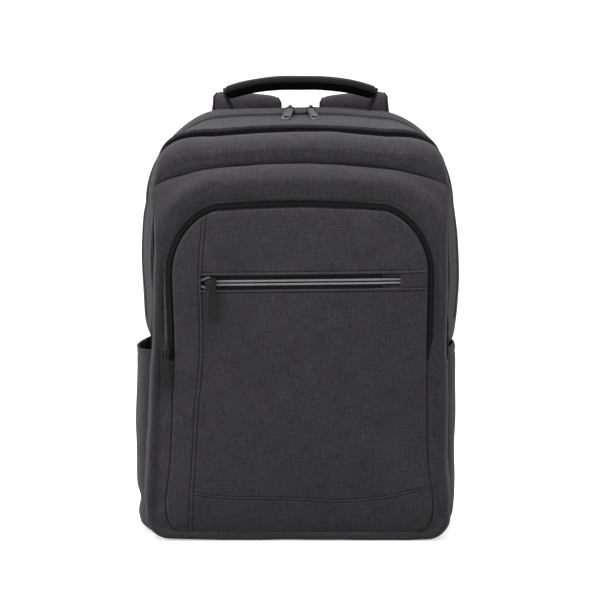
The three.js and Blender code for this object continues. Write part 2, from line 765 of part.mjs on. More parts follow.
// A tab that hangs along local -y from a crossbar on local x, with a window under the bar.
function windowPull(length, width) {
  const bar = bridgeThick / 2;
  const frame = width * 0.8;
  const end = 0.3 * width;
  const tab = new THREE.Shape();
  tab.moveTo(-frame / 2, bar);
  tab.lineTo(-frame / 2, -windowLength * 0.8);
  tab.lineTo(-width / 2, -windowLength - 2);
  tab.lineTo(-width / 2, -length + end);
  tab.lineTo(-width / 2 + end, -length);
  tab.lineTo(width / 2 - end, -length);
  tab.lineTo(width / 2, -length + end);
  tab.lineTo(width / 2, -windowLength - 2);
  tab.lineTo(frame / 2, -windowLength * 0.8);
  tab.lineTo(frame / 2, bar);
  const window = new THREE.Path();
  const free = bridgeWidth / 2 + 0.8;
  window.moveTo(-free, -bar);
  window.lineTo(free, -bar);
  window.lineTo(free, -windowLength);
  window.lineTo(-free, -windowLength);
  tab.holes.push(window);
  const plate = new THREE.ExtrudeGeometry(tab, { depth: bridgeThick, bevelEnabled: false });
  plate.translate(0, 0, -bridgeThick / 2);
  return solidFrom(plate);
}

const barHeight = bridgeHeight - bridgeThick / 2;

function makeMainSliders() {
  const y = mainFront + mainZipPlace;
  const reach = sliderWidth / 2;
  for (const side of [-1, 1]) {
    const x = (side * mainSliderSpacing) / 2;
    const front = topOf(mainOuter, x, y - reach);
    const back = topOf(mainOuter, x, y + reach);
    const slope = Math.atan2(back - front, 2 * reach);
    const base = Math.max(topOf(mainOuter, x, y), (front + back) / 2) + 1.5 * gap;
    const label = side < 0 ? "left" : "right";
    const slider = addPiece("main_slider_" + label, sliderSolid(), blackMetal);
    slider.position.set(x, y, base);
    slider.rotation.set(slope, 0, side < 0 ? Math.PI : 0);
    const hingeY = y - Math.sin(slope) * barHeight;
    const hingeZ = base + Math.cos(slope) * barHeight;
    const tip = topOf(mainOuter, x, hingeY - mainPullLength * 0.93) + pullThick;
    const lie = Math.asin((hingeZ - tip) / mainPullLength);
    const solid = eyePull(mainPullLength, mainPullWidth, side * mainPullSplay, true);
    const pull = addPiece("main_pull_" + label, solid, gunmetal);
    pull.position.set(x, hingeY, hingeZ);
    pull.rotation.set(lie, 0, 0);
  }
}

function makeChestSlider() {
  const x = -(chestHalf - chestSliderInset);
  const y = foremostUnder(pocketOuter, x, chestHeight, sliderLength / 2, sliderWidth / 2) - gap;
  const slider = addPiece("chest_slider", sliderSolid(), blackMetal);
  slider.position.set(x, y, chestHeight);
  slider.rotation.set(Math.PI / 2, 0, 0);
  const pull = addPiece("chest_pull", eyePull(chestPullLength, chestPullWidth, 0, false), pullRubber);
  pull.position.set(x, y - barHeight, chestHeight);
  pull.rotation.set(Math.PI / 2, 0, 0);
}

function makeFrontSlider() {
  const edge = panelHalf * between(PANEL_SIDES, "height", frontSliderHeight / bodyHeight, "left");
  const x = -(edge + frontTape * frontSliderShare);
  const z = frontSliderHeight;
  const y = foremostUnder(pocketOuter, x, z, sliderWidth / 2, sliderLength / 2) - gap;
  const slider = addPiece("front_slider", sliderSolid(), blackMetal);
  slider.position.set(x, y, z);
  slider.rotation.set(Math.PI / 2, 0, Math.PI / 2);
  const pull = addPiece("front_pull", windowPull(frontPullLength, frontPullWidth), pullRubber);
  const inside = (sliderBase + bridgeHeight - bridgeThick) / 2;
  pull.position.set(x, y - inside, z);
  pull.rotation.set(Math.PI / 2, 0, 0);
}

makeMain();
makeBackPanel();
makeFrontPocket();
makeSidePocket("side_pocket_left", -1, sidePocketLeft, "left");
makeSidePocket("side_pocket_right", 1, sidePocketRight, "right");
makeHandle();
makeStrap(-1, "left");
makeStrap(1, "right");
makeMainSliders();
makeChestSlider();
makeFrontSlider();

export default group;
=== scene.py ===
import json
import math

import bmesh
import bpy
import numpy as np
from mathutils import Matrix, Vector, noise


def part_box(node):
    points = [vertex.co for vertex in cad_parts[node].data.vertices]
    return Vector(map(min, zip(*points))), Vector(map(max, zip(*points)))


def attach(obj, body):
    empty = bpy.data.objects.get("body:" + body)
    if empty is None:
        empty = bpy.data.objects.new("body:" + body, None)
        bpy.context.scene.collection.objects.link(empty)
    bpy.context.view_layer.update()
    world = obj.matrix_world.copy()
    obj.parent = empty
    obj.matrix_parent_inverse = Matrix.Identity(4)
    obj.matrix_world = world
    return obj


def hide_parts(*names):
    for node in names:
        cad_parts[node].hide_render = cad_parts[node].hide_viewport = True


# A laptop backpack in charcoal melange cloth, standing on its base with its front towards -Y.
# Lengths here are millimetres and become metres when a mesh is made.

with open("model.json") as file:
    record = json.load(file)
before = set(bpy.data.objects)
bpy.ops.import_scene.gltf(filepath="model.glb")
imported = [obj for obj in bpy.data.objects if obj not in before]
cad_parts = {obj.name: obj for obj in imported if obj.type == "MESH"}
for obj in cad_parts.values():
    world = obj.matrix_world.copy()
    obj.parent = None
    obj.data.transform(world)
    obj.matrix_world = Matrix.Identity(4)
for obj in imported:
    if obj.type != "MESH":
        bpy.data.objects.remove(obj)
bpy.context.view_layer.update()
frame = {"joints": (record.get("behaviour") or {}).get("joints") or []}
MM = 0.001
SIDES = ((-1, "left"), (1, "right"))


# Camera


def look_from(name, data, place, target):
    thing = bpy.data.objects.new(name, data)
    bpy.context.scene.collection.objects.link(thing)
    thing.location = Vector(place)
    thing.rotation_euler = (Vector(target) - thing.location).to_track_quat("-Z", "Y").to_euler()
    return thing


SIGHT = 2.6
RISE = math.radians(5)
AIM = (-0.0005, 0.0, 0.2348)
lens = bpy.data.cameras.new("camera")
lens.sensor_width = 36
lens.lens = 36 * 2574 / 600
lens.clip_start = 0.05
lens.clip_end = 100
eye = (AIM[0], -SIGHT * math.cos(RISE), AIM[2] + SIGHT * math.sin(RISE))
bpy.context.scene.camera = look_from("camera", lens, eye, AIM)


# Materials


def linear(code):
    """An sRGB hex value as linear light."""
    parts = [int(code[i : i + 2], 16) / 255 for i in (1, 3, 5)]
    return tuple(c / 12.92 if c <= 0.04045 else ((c + 0.055) / 1.055) ** 2.4 for c in parts) + (1.0,)


def add(tree, kind, inputs=None, **settings):
    """One node with its settings, and its inputs set or linked."""
    node = tree.nodes.new(kind)
    for key, value in settings.items():
        setattr(node, key, value)
    for key, value in (inputs or {}).items():
        if isinstance(value, bpy.types.Node):
            value = value.outputs[0]
        if isinstance(value, bpy.types.NodeSocket):
            tree.links.new(value, node.inputs[key])
        else:
            node.inputs[key].default_value = value
    return node


def new_material(name):
    material = bpy.data.materials.new(name)
    material.use_nodes = True
    material.node_tree.nodes.clear()
    return material, material.node_tree


def coat(tree, shade, dark, light, height, depth, rough, **sockets):
    """The shader: a colour from dark to light by shade, and a relief of that depth in mm by height."""
    colours = {"Factor": shade, 6: linear(dark), 7: linear(light)}
    colour = add(tree, "ShaderNodeMix", colours, data_type="RGBA").outputs[2]
    relief = add(tree, "ShaderNodeBump", {"Height": height, "Strength": 1.0, "Distance": depth * MM})
    inputs = {"Base Color": colour, "Roughness": rough, "Normal": relief}
    for key, value in sockets.items():
        inputs[key.replace("_", " ")] = value
    shader = add(tree, "ShaderNodeBsdfPrincipled", inputs)
    add(tree, "ShaderNodeOutputMaterial", {"Surface": shader})


def streaks(tree, where, long_mm, wide_mm, detail):
    """Streaks long_mm by wide_mm, from a place in metres."""
    scale = (1 / (long_mm * MM), 1 / (wide_mm * MM), 60.0)
    scaled = add(tree, "ShaderNodeMapping", {"Vector": where, "Scale": scale})
    inputs = {"Vector": scaled, "Scale": 1.0, "Detail": detail, "Roughness": 0.55}
    return add(tree, "ShaderNodeTexNoise", inputs)


def weave_height(tree, where, across_mm, along_mm):
    """Over and under of threads that far apart."""
    split = add(tree, "ShaderNodeSeparateXYZ", {0: where})
    waves = {}
    for axis, pitch in enumerate((across_mm, along_mm)):
        turns = {0: split.outputs[axis], 1: 2 * math.pi / (pitch * MM)}
        angle = add(tree, "ShaderNodeMath", turns, operation="MULTIPLY")
        waves[axis] = add(tree, "ShaderNodeMath", {0: angle}, operation="SINE")
    return add(tree, "ShaderNodeMath", waves, operation="MULTIPLY")


def cloth(name, dark, light, slub, thread, depth, rough=0.9, sheen=0.12, spread=1.0, gloss=0.25):
    """Woven yarn of two shades: slubs along weft and warp, and threads that pass over and under.
    slub is the length and width of a thick place in the yarn and thread the pitch, in mm."""
    material, tree = new_material(name)
    where = add(tree, "ShaderNodeUVMap", uv_map="weave")
    weft = streaks(tree, where, slub[0], slub[1], 2.0)
    warp = streaks(tree, where, slub[1], slub[0], 2.0)
    short = streaks(tree, where, thread * 4, thread * 1.1, 1.0)
    blotch = streaks(tree, where, 26, 22, 3.0)
    total = add(tree, "ShaderNodeMath", {0: weft, 1: warp}, operation="ADD")
    total = add(tree, "ShaderNodeMath", {0: short, 1: 0.7, 2: total}, operation="MULTIPLY_ADD")
    total = add(tree, "ShaderNodeMath", {0: blotch, 1: 0.5, 2: total}, operation="MULTIPLY_ADD")
    mean = (1 + 1 + 0.7 + 0.5) / 2
    reach = {0: total, 1: mean - 0.55 / spread, 2: mean + 0.55 / spread, 3: 0.0, 4: 1.0}
    shade = add(tree, "ShaderNodeMapRange", reach)
    over = weave_height(tree, where, thread, thread)
    height = add(tree, "ShaderNodeMath", {0: weft, 1: 0.6, 2: over}, operation="MULTIPLY_ADD")
    sheens = {"Sheen_Weight": sheen, "Sheen_Roughness": 0.4, "Specular_IOR_Level": gloss}
    coat(tree, shade, dark, light, height, depth, rough, **sheens)
    return material


def ribbed(name, dark, light, rib_mm, depth, rough, sheen=0.05):
    """Narrow tape or webbing, woven with ribs across its length, which is the weave map's first axis."""
    material, tree = new_material(name)
    where = add(tree, "ShaderNodeUVMap", uv_map="weave")
    ribs = weave_height(tree, where, rib_mm, rib_mm * 1.7)
    fleck = streaks(tree, where, 1.2, 4.0, 2.0)
    coat(tree, fleck, dark, light, ribs, depth, rough, Sheen_Weight=sheen, Specular_IOR_Level=0.2)
    return material


def hard(name, dark, light, grain_mm, depth, rough, metallic, **sockets):
    """A cast or moulded surface with a faint grain, worn a little lighter and smoother in places."""
    material, tree = new_material(name)
    where = add(tree, "ShaderNodeTexCoord").outputs["Object"]
    grain = add(tree, "ShaderNodeTexNoise", {"Vector": where, "Scale": 1 / (grain_mm * MM), "Detail": 2.0})
    wear = add(tree, "ShaderNodeTexNoise", {"Vector": where, "Scale": 1 / (6 * MM), "Detail": 3.0})
    gloss = add(tree, "ShaderNodeMapRange", {0: wear, 1: 0.3, 2: 0.7, 3: rough * 1.15, 4: rough * 0.85})
    coat(tree, wear, dark, light, grain, depth, gloss, Metallic=metallic, **sockets)
    return material


# Charcoal melange polyester: two shades of spun yarn, matt, with slubs that show as short streaks.
MELANGE = cloth("melange_polyester", "#272527", "#4a484b", (14.0, 1.3), 0.9, 0.10)
# The same cloth where it is rubbed and stretched over the strap padding.
STRAP_CLOTH = cloth("melange_strap_cloth", "#2e2b2e", "#4a464a", (12.0, 1.3), 0.9, 0.10)
# Brushed neoprene over the grip: fine, dense and almost plain.
GRIP_CLOTH = cloth("brushed_neoprene", "#1d1c1e", "#29282b", (3.0, 1.4), 0.7, 0.06, 0.85, 0.08)
# Black lining under the grip, made near black as painted shade for the shadow that falls under the grip.
GRIP_LINING_AND_SHADE = cloth("black_lining_painted_shade", "#020202", "#050505", (3.0, 1.2), 0.8, 0.06, 1.0, 0.0, 1.0, 0.05)
# Knitted spacer mesh on the back, open and matt.
AIR_MESH = cloth("spacer_mesh", "#1b1a1c", "#343335", (2.6, 2.6), 3.2, 0.5, 0.95, 0.04, 1.6)
# Black herringbone zipper tape, flat and dull.
TAPE = ribbed("zipper_tape_weave", "#09090a", "#131314", 1.1, 0.08, 0.9, 0.02)
# Nylon coil of a black zipper, slightly glossy.
COIL = hard("nylon_coil_black", "#0d0d0e", "#1b1b1c", 0.5, 0.01, 0.42, 0.0)
# Nylon coil with a vacuum-metallised silver face.
SILVER_COIL = hard("metallised_coil", "#828184", "#a3a2a5", 0.5, 0.01, 0.38, 0.35)
# Black polypropylene webbing with ribs across it.
WEBBING = ribbed("webbing_polypropylene", "#0c0b0c", "#1a191b", 1.3, 0.15, 0.75)
# Folded binding tape round the straps.
BINDING = ribbed("binding_tape", "#171618", "#242326", 0.9, 0.06, 0.85)
# Bonded sewing thread.
THREAD = hard("bonded_thread", "#0c0c0d", "#161617", 0.4, 0.02, 0.85, 0.0, Specular_IOR_Level=0.2)
# Zinc alloy sliders, die-cast and painted black.
BLACK_METAL = hard("painted_zinc_black", "#0b0b0c", "#171718", 0.4, 0.01, 0.38, 0.5)
# Zinc pulls with a dark satin plating.
GUNMETAL = hard("satin_gunmetal_plating", "#3f3f43", "#525257", 0.3, 0.008, 0.45, 0.8)
# Soft PVC pulls from a mould.
PULL_RUBBER = hard("soft_pvc_moulded", "#0b0b0b", "#121213", 0.35, 0.012, 0.65, 0.0, Specular_IOR_Level=0.25)
# Acetal strap hardware, moulded.
ACETAL = hard("acetal_black", "#0c0c0d", "#161617", 0.3, 0.01, 0.45, 0.0)


# Shapes on a grid


def through(xs, ys, x):
    """A smooth curve through the points (xs, ys), read at x."""
    xs, ys = np.asarray(xs, float), np.asarray(ys, float)
    step = np.diff(ys) / np.diff(xs)
    before, after = step[:-1], step[1:]
    slope = np.empty_like(ys)
    slope[1:-1] = np.where(after * before > 0, 2 * after * before / (after + before + 1e-12), 0)
    slope[0], slope[-1] = step[0], step[-1]
    at = np.clip(x, xs[0], xs[-1])
    i = np.clip(np.searchsorted(xs, at, side="right") - 1, 0, len(xs) - 2)
    h = xs[i + 1] - xs[i]
    t = (at - xs[i]) / h
    low = (1 + 2 * t) * (1 - t) ** 2 * ys[i] + t * (1 - t) ** 2 * h * slope[i]
    return low + t * t * (3 - 2 * t) * ys[i + 1] + t * t * (t - 1) * h * slope[i + 1]


def ease(low, high, x):
    """0 below low, 1 above high, smooth between."""
    t = np.clip((x - low) / (high - low), 0, 1)
    return t * t * (3 - 2 * t)


def bump(x, width):
    """A smooth bump of height 1 about 0."""
    return np.exp(-((x / width) ** 2))


def unit(vectors):
    return vectors / np.maximum(np.linalg.norm(vectors, axis=-1, keepdims=True), 1e-9)


def points_of(x, y, z):
    """Points from their coordinates, each of them spread over the others' grid."""
    return np.stack(np.broadcast_arrays(x, y, z), -1)


def spans(points, axis=0):
    """The distances between neighbours along an axis."""
    return np.linalg.norm(np.diff(points, axis=axis), axis=-1)


def summed(steps):
    """Distances from the start, from the steps between places."""
    return np.r_[0, np.cumsum(steps)]


def run_of(line):
    return summed(spans(line[:, :3]))


def march(start, end, features, fine, coarse, growth=0.2):
    """Places from start to end, fine apart near the features and coarse apart away from them."""
    places = [start]
    while places[-1] < end:
        near = min(abs(places[-1] - f) for f in features)
        places.append(places[-1] + min(max(growth * near, fine), coarse))
    places = np.array(places)
    return start + (places - start) * (end - start) / (places[-1] - start)


def wavy(points, length, seed):
    """Soft noise from about -1 to 1 at each point, with waves about that long."""
    flat = points.reshape(-1, 3) / length
    values = [noise.noise(Vector((p[0] + seed, p[1] - seed, p[2] + 2 * seed))) for p in flat]
    return np.array(values).reshape(points.shape[:-1]) * 1.6


def outward(points, closed, inside):
    """Unit normals of a grid of points, columns along axis 1, that point away from a place inside."""
    if closed:
        wrapped = np.concatenate([points[:, -2:-1], points, points[:, 1:2]], 1)
        across = (wrapped[:, 2:] - wrapped[:, :-2]) / 2
    else:
        across = np.gradient(points, axis=1)
    normal = unit(np.cross(across, np.gradient(points, axis=0)))
    return normal if ((points - inside) * normal).sum() > 0 else -normal


def piece_from(name, bm, material, body="bag", node=None):
    """A piece with its finish, the body that it rides on and the node that it stands for."""
    mesh = bpy.data.meshes.new(name)
    bm.to_mesh(mesh)
    bm.free()
    mesh.materials.append(material)
    mesh.shade_smooth()
    thing = bpy.data.objects.new(name, mesh)
    bpy.context.scene.collection.objects.link(thing)
    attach(thing, body)
    if node:
        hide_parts(node)
    return thing


def laid(name, points, closed, inside, material, weave=None, body="bag", caps=False, node=None):
    """A grid laid on rows and columns of points, its faces turned away from a place inside.
    weave gives each point's place on the cloth in mm."""
    rows, columns = points.shape[:2]
    if weave is None:
        across, along = spans(points, 1).mean(0), spans(points).mean(1)
        weave = np.stack(np.meshgrid(summed(across), summed(along)), -1)
    bm = bmesh.new()
    bmesh.ops.create_grid(bm, x_segments=columns - 1, y_segments=rows - 1, size=0.5)
    mesh = bpy.data.meshes.new(name)
    bm.to_mesh(mesh)
    bm.free()
    flat = np.empty(len(mesh.vertices) * 3)
    mesh.vertices.foreach_get("co", flat)
    flat = flat.reshape(-1, 3)
    column = np.rint((flat[:, 0] + 0.5) * (columns - 1)).astype(int)
    row = np.rint((flat[:, 1] + 0.5) * (rows - 1)).astype(int)
    mesh.vertices.foreach_set("co", (points[row, column] * MM).ravel())
    corner = np.empty(len(mesh.loops), int)
    mesh.loops.foreach_get("vertex_index", corner)
    uv = mesh.uv_layers.new(name="weave")
    uv.data.foreach_set("uv", (weave[row, column] * MM)[corner].ravel())
    bm = bmesh.new()
    bm.from_mesh(mesh)
    bpy.data.meshes.remove(mesh)
    if closed:
        edge = [v for v in bm.verts if v.is_boundary]
        bmesh.ops.remove_doubles(bm, verts=edge, dist=1e-6)
    if caps:
        bmesh.ops.holes_fill(bm, edges=[e for e in bm.edges if e.is_boundary], sides=0)
    centre = Vector(inside) * MM
    bm.normal_update()
    away = sum((f.calc_center_median() - centre).dot(f.normal) * f.calc_area() for f in bm.faces)
    if away < 0:
        bmesh.ops.reverse_faces(bm, faces=bm.faces)
    return piece_from(name, bm, material, body, node)


# Outlines and sections

BODY = 429.0
HALF = 162.5
LOW = 22.0

# Where an outline's base, low corner, side, high corner and top end, in shares of its half length.
ENDS = [0, 0.10, 0.16, 0.58, 0.80, 1]

MAIN_SIDE_Z = [0, 0.3, 0.42, 0.442, 0.462, 0.487, 0.515, 0.544, 0.573, 0.6, 0.645, 0.7, 0.744, 0.78, 1.0]
MAIN_SIDE = {
    -1: [0.905, 0.91, 0.915, 0.93, 0.95, 0.972, 0.982, 0.988, 0.994, 1.0, 1.005, 0.999, 0.988, 0.97, 0.95],
    1: [0.905, 0.91, 0.922, 0.948, 0.966, 0.976, 0.986, 0.994, 1.0, 1.002, 0.998, 0.987, 0.972, 0.96, 0.935],
}
POCKET_SIDE_Z = [0, 0.08, 0.2, 0.38, 0.62, 1.0]
POCKET_SIDE = {-1: [1.055, 1.063, 1.045, 1.02, 1.0, 0.99], 1: [1.03, 1.02, 0.998, 1.0, 1.0, 0.995]}
PANEL_SIDE_Z = [0, 0.09, 0.15, 0.21, 0.37, 0.44, 0.62, 1.0]
PANEL_SIDE = {
    -1: [1.04, 1.065, 1.04, 1.022, 1.0, 0.992, 1.008, 1.0],
    1: [1.02, 1.045, 1.015, 1.0, 0.992, 0.992, 1.0, 1.0],
}

# y, half, top, corner_x, corner_z, droop, rise: y in mm, and the rest in shares of HALF, BODY, the
# half width there, BODY and LOW. Each table runs along the cloth from one edge to the other.
CHANNEL = [(-13.0, 0.83, 0.905), (-13.0, 0.88, 0.93), (-14.0, 0.895, 0.942), (-17.5, 0.904, 0.9485)]
CHANNEL += [(-21.3, 0.91, 0.9545)]
MAIN_ROWS = [(*place, 0.4, 0.117, 0.2, 0) for place in CHANNEL] + [
    (-21.4, 0.9175, 0.96, 0.4, 0.12, 0.19, 0),
    (-15.5, 0.926, 0.964, 0.41, 0.13, 0.18, 0),
    (-7.0, 0.943, 0.968, 0.42, 0.15, 0.17, 0),
    (7.0, 0.968, 0.9765, 0.44, 0.18, 0.16, 0),
    (25.0, 0.99, 0.9875, 0.46, 0.205, 0.15, 0),
    (41.0, 1.0, 0.998, 0.47, 0.215, 0.14, 0),
    (53.5, 0.997, 0.999, 0.47, 0.215, 0.14, 0.02),
    (61.5, 0.982, 0.991, 0.46, 0.21, 0.14, 0.1),
    (65.8, 0.96, 0.979, 0.45, 0.205, 0.14, 0.25),
    (66.2, 0.93, 0.962, 0.44, 0.2, 0.14, 0.4),
]
POCKET_ROWS = [
    (-14.5, 0.83, 0.9, 0.4, 0.117, 0.2, 0.03),
    (-18.5, 0.862, 0.919, 0.4, 0.117, 0.2, 0.02),
    (-22.8, 0.886, 0.934, 0.4, 0.117, 0.2, 0),
    (-26.0, 0.895, 0.942, 0.4, 0.117, 0.2, 0),
    (-29.5, 0.8985, 0.944, 0.4, 0.117, 0.22, 0),
    (-35.5, 0.8995, 0.9415, 0.4, 0.116, 0.23, 0),
    (-42.0, 0.9, 0.933, 0.4, 0.112, 0.24, 0),
    (-47.2, 0.9, 0.9195, 0.4, 0.104, 0.25, 0),
    (-49.6, 0.9, 0.904, 0.4, 0.09, 0.25, 0),
    (-49.6, 0.9, 0.889, 0.4, 0.068, 0.25, 0),
    (-48.8, 0.8995, 0.8775, 0.4, 0.048, 0.24, 0),
    (-46.8, 0.899, 0.8715, 0.4, 0.037, 0.24, 0),
    (-48.6, 0.898, 0.872, 0.4, 0.038, 0.24, 0),
    (-52.4, 0.896, 0.869, 0.405, 0.05, 0.23, 0),
    (-57.2, 0.892, 0.862, 0.41, 0.08, 0.22, 0),
    (-61.4, 0.886, 0.8505, 0.41, 0.107, 0.18, 0.04),
    (-64.3, 0.876, 0.8365, 0.415, 0.13, 0.14, 0.12),
    (-64.9, 0.864, 0.824, 0.42, 0.147, 0.09, 0.22),
    (-64.7, 0.852, 0.8075, 0.42, 0.157, 0.05, 0.31),
    (-63.9, 0.84, 0.791, 0.42, 0.163, 0.02, 0.41),
]
CREASE_ROW = 11
# How straight the high corners are along the table: 2 is a straight slope, 1 an ellipse.
POCKET_TURN = [0.66] * 7 + [0.72, 0.9, 1.15, 1.45, 1.7, 1.7, 1.6, 1.45, 1.3, 1.2, 1.15, 1.15, 1.15]
MAIN_TURN = [0.58] * 5 + [0.6, 0.66, 0.76, 0.9] + [1.0] * 6


def along_table(values, at):
    """A table's values at places along it, as a column."""
    return through(np.arange(len(values)), values, at)[:, None]


def section(p, side, form, sides, grow):
    """Half of an upright outline by p, from 0 at the middle of the base to 1 at the middle of the top."""
    side_z, side_x, turn_x, turn_z = sides
    half, top, corner_x, corner_z, droop, bottom, low = form

    def width(z):
        return half * through(side_z, side_x[side], z / BODY) + grow

    low = np.maximum(low + grow, 1)
    bottom = bottom - grow
    top = top + grow
    round_x = corner_x * half + grow
    round_z = corner_z + grow
    low_x = width(bottom + low) - low
    high_z = top - droop - round_z
    high_x = width(high_z) - round_x
    a, b, c, d, e = (np.clip((p - start) / (end - start), 0, 1) for start, end in zip(ENDS, ENDS[1:]))
    b, d = b * math.pi / 2, d * math.pi / 2
    upright = bottom + low + (high_z - bottom - low) * c
    corner = high_x + round_x * np.maximum(np.cos(d), 0) ** turn_x[side]
    parts = [p < ENDS[2], p < ENDS[3], p < ENDS[4]]
    x = np.select(parts, [low_x * a + low * np.sin(b), width(upright), corner], high_x * (1 - e))
    corner = high_z + round_z * np.sin(d) ** turn_z
    z = np.select(parts, [bottom + low * (1 - np.cos(b)), upright, corner], top - droop * (1 - e) ** 2)
    return side * x, z


def form_of(rows, at):
    """Each section's y and sizes, as columns, at these places along the table."""
    y, half, top, corner_x, corner_z, droop, rise = (along_table(values, at) for values in zip(*rows))
    upper = (half * HALF, top * BODY, corner_x, corner_z * BODY, droop * LOW)
    return y, (*upper, rise * LOW, LOW * (1 - 0.3 * rise))


def along_rows(rows, features, fine, coarse):
    """Places along a table, closer near some of its rows, with their distances along the cloth."""
    at = np.linspace(0, len(rows) - 1, 2000)
    y, form = form_of(rows, at)
    length = summed(np.hypot(np.diff(y[:, 0]), np.diff(form[1][:, 0])))
    marks = [np.interp(f, at, length) for f in features]
    places = march(0.0, length[-1], marks, fine, coarse, 0.22)
    return np.interp(places, length, at), places, marks


def around(u, form, sides, grow=0.0):
    """A whole outline: u from 0 at the middle of the base, up the right side, over and down the left."""
    right_x, right_z = section(np.minimum(2 * u, 1), 1, form, sides, grow)
    left_x, left_z = section(np.minimum(2 * (1 - u), 1), -1, form, sides, grow)
    on_right = u <= 0.5
    return np.where(on_right, right_x, left_x), np.where(on_right, right_z, left_z)


def ring_places(*counts):
    """Places round an outline, with that many steps to each part of each half, from base to top."""
    half = [np.linspace(a, b, n, endpoint=False) for a, b, n in zip(ENDS, ENDS[1:], counts)]
    right = np.r_[np.concatenate(half), 1.0] / 2
    return np.r_[right, 1 - right[-2::-1]]


def rim_distance(x, z, ring):
    """How far each place is from an outline."""
    rim = np.stack([ring[0][0], ring[1][0]], -1)
    spots = np.stack([x.ravel(), z.ravel()], -1)
    blocks = (spots[i : i + 4000, None] for i in range(0, len(spots), 4000))
    return np.concatenate([np.sqrt(((b - rim) ** 2).sum(-1).min(1)) for b in blocks]).reshape(x.shape)


def main_sides(at):
    """The main compartment's sides, with corners that are squarer near its front."""
    turn = along_table(MAIN_TURN, at)
    return (MAIN_SIDE_Z, MAIN_SIDE, {-1: 1.2 * turn, 1: 1.12 * turn}, 1.04 * turn)


def pocket_sides(turn):
    return (POCKET_SIDE_Z, POCKET_SIDE, {-1: turn, 1: turn}, turn)


PANEL_SIDES = (PANEL_SIDE_Z, PANEL_SIDE, {-1: 1.1, 1: 1.1}, 1.1)
POCKET_BACK, POCKET_DEPTH = -23.3, 53.0
ZIP_Y, ZIP_END = 19.0, 215.0
BAG_MIDDLE = (0, 20, 210)
POCKET_MIDDLE = (0, 0, 210)


# Main compartment

CHANNEL_END = len(CHANNEL)


def main_surface(u, at):
    """Points of the main compartment's skin at places along its table."""
    y, form = form_of(MAIN_ROWS, at)
    x, z = around(u[None, :], form, main_sides(at))
    return points_of(x, y, z)


def main_waves(points):
    """Soft waves of the cloth, which its turned front edge and its back seam hold still."""
    y = points[..., 1]
    waves = wavy(points, 75, 3.1) * 0.9 + wavy(points, 30, 7.7) * 0.25
    return waves * ease(-20, -8, y) * (1 - ease(50, 62, y))


def main_relief(points):
    """How far the cloth stands out: the zipper's bed and its lips, and the waves."""
    y, z = points[..., 1], points[..., 2]
    bed = ease(ZIP_END - 1, ZIP_END + 2, z) * (1 - ease(3.8, 4.5, np.abs(y - ZIP_Y)))
    lip = ease(ZIP_END, ZIP_END + 6, z) * bump(np.abs(y - ZIP_Y) - 5.8, 1.2) * 0.3
    return lip - 1.4 * bed + main_waves(points)


def row_at(y):
    """The place along the main table where the cloth reaches that y, past its front channel."""
    return np.interp(y, [row[0] for row in MAIN_ROWS[CHANNEL_END:]], np.arange(CHANNEL_END, len(MAIN_ROWS)))


def make_main():
    marks = [3.5, row_at(ZIP_Y - 4.2), row_at(ZIP_Y + 4.2), len(MAIN_ROWS) - 2]
    at = along_rows(MAIN_ROWS, marks, 0.45, 2.4)[0]
    points = main_surface(ring_places(16, 12, 100, 64, 48), at)
    points = points + outward(points, True, BAG_MIDDLE) * main_relief(points)[..., None]
    laid("main_compartment_cloth", points, True, BAG_MIDDLE, MELANGE, node="main_shell")


# Front pocket

FACE_SHARES = [(0.0, 1.0), (0.46, 0.95), (0.76, 0.882), (0.9, 0.833), (0.96, 0.79), (1.0, 0.75), (1.1, 0.64)]
FACE_MIDDLE = 0.36 * BODY


def edge_reach():
    """How far the first tier's front edge lies from the middle of the face, by its angle there."""
    form = form_of(POCKET_ROWS, np.array([len(POCKET_ROWS) - 1]))[1]
    x, z = around(ring_places(60, 40, 160, 120, 80)[None, :], form, pocket_sides(1.15))
    angle = np.arctan2(z[0] - FACE_MIDDLE, x[0])
    order = np.argsort(angle)
    return angle[order], np.hypot(x[0], z[0] - FACE_MIDDLE)[order]


EDGE_ANGLE, EDGE_REACH = edge_reach()


def face_y(x, z):
    """The depth of the front pocket's domed face at a place."""
    angle = np.arctan2(z - FACE_MIDDLE, x)
    reach = np.interp(angle, EDGE_ANGLE, EDGE_REACH, period=2 * math.pi)
    share = np.hypot(x, z - FACE_MIDDLE) / reach
    size, depth = zip(*FACE_SHARES)
    return POCKET_BACK - POCKET_DEPTH * through(size, depth, share)


PANEL_HALF, PANEL_TOP, PANEL_BOTTOM, PANEL_CORNER = 125.0, 331.5, 6.6, 60.0
PANEL_SIZES = (PANEL_HALF, PANEL_TOP, 0.384, PANEL_CORNER, 3.0, PANEL_BOTTOM, LOW)
PANEL_FORM = tuple(np.array([[size]]) for size in PANEL_SIZES)
FRONT_ZIP_END = 181.0
ZIP_WIDTH = 7.2


def panel_ring(u, grow=0.0):
    """The panel's outline, grown by that much."""
    return around(u[None, :], PANEL_FORM, PANEL_SIDES, grow)


def zip_rim(x, z):
    """How much of the zipper shows outside the panel: more near the slider, where the cloth gives way."""
    wide = ZIP_WIDTH + 4.3 * (x < 0) * (1 - ease(225, 285, z))
    return wide - np.where(x < 0, 1.6, 4.0) * (1 - ease(FRONT_ZIP_END, FRONT_ZIP_END + 26, z))


# The rows from the edge of the face inwards: the share of the way to the rim of the zipper or seam,
# how far the cloth sinks there, and how far it has gone on under the panel.
RIM_ROWS = [(0.2, 0, 0), (0.4, 0, 0), (0.6, 0, 0), (0.75, 0, 0), (0.88, 0.15, 0), (0.96, 0.5, 0)]
RIM_ROWS += [(1.0, 1.1, 0), (1.0, 2.0, 0.6), (1.0, 2.8, 2.4), (1.0, 3.4, 9.0)]


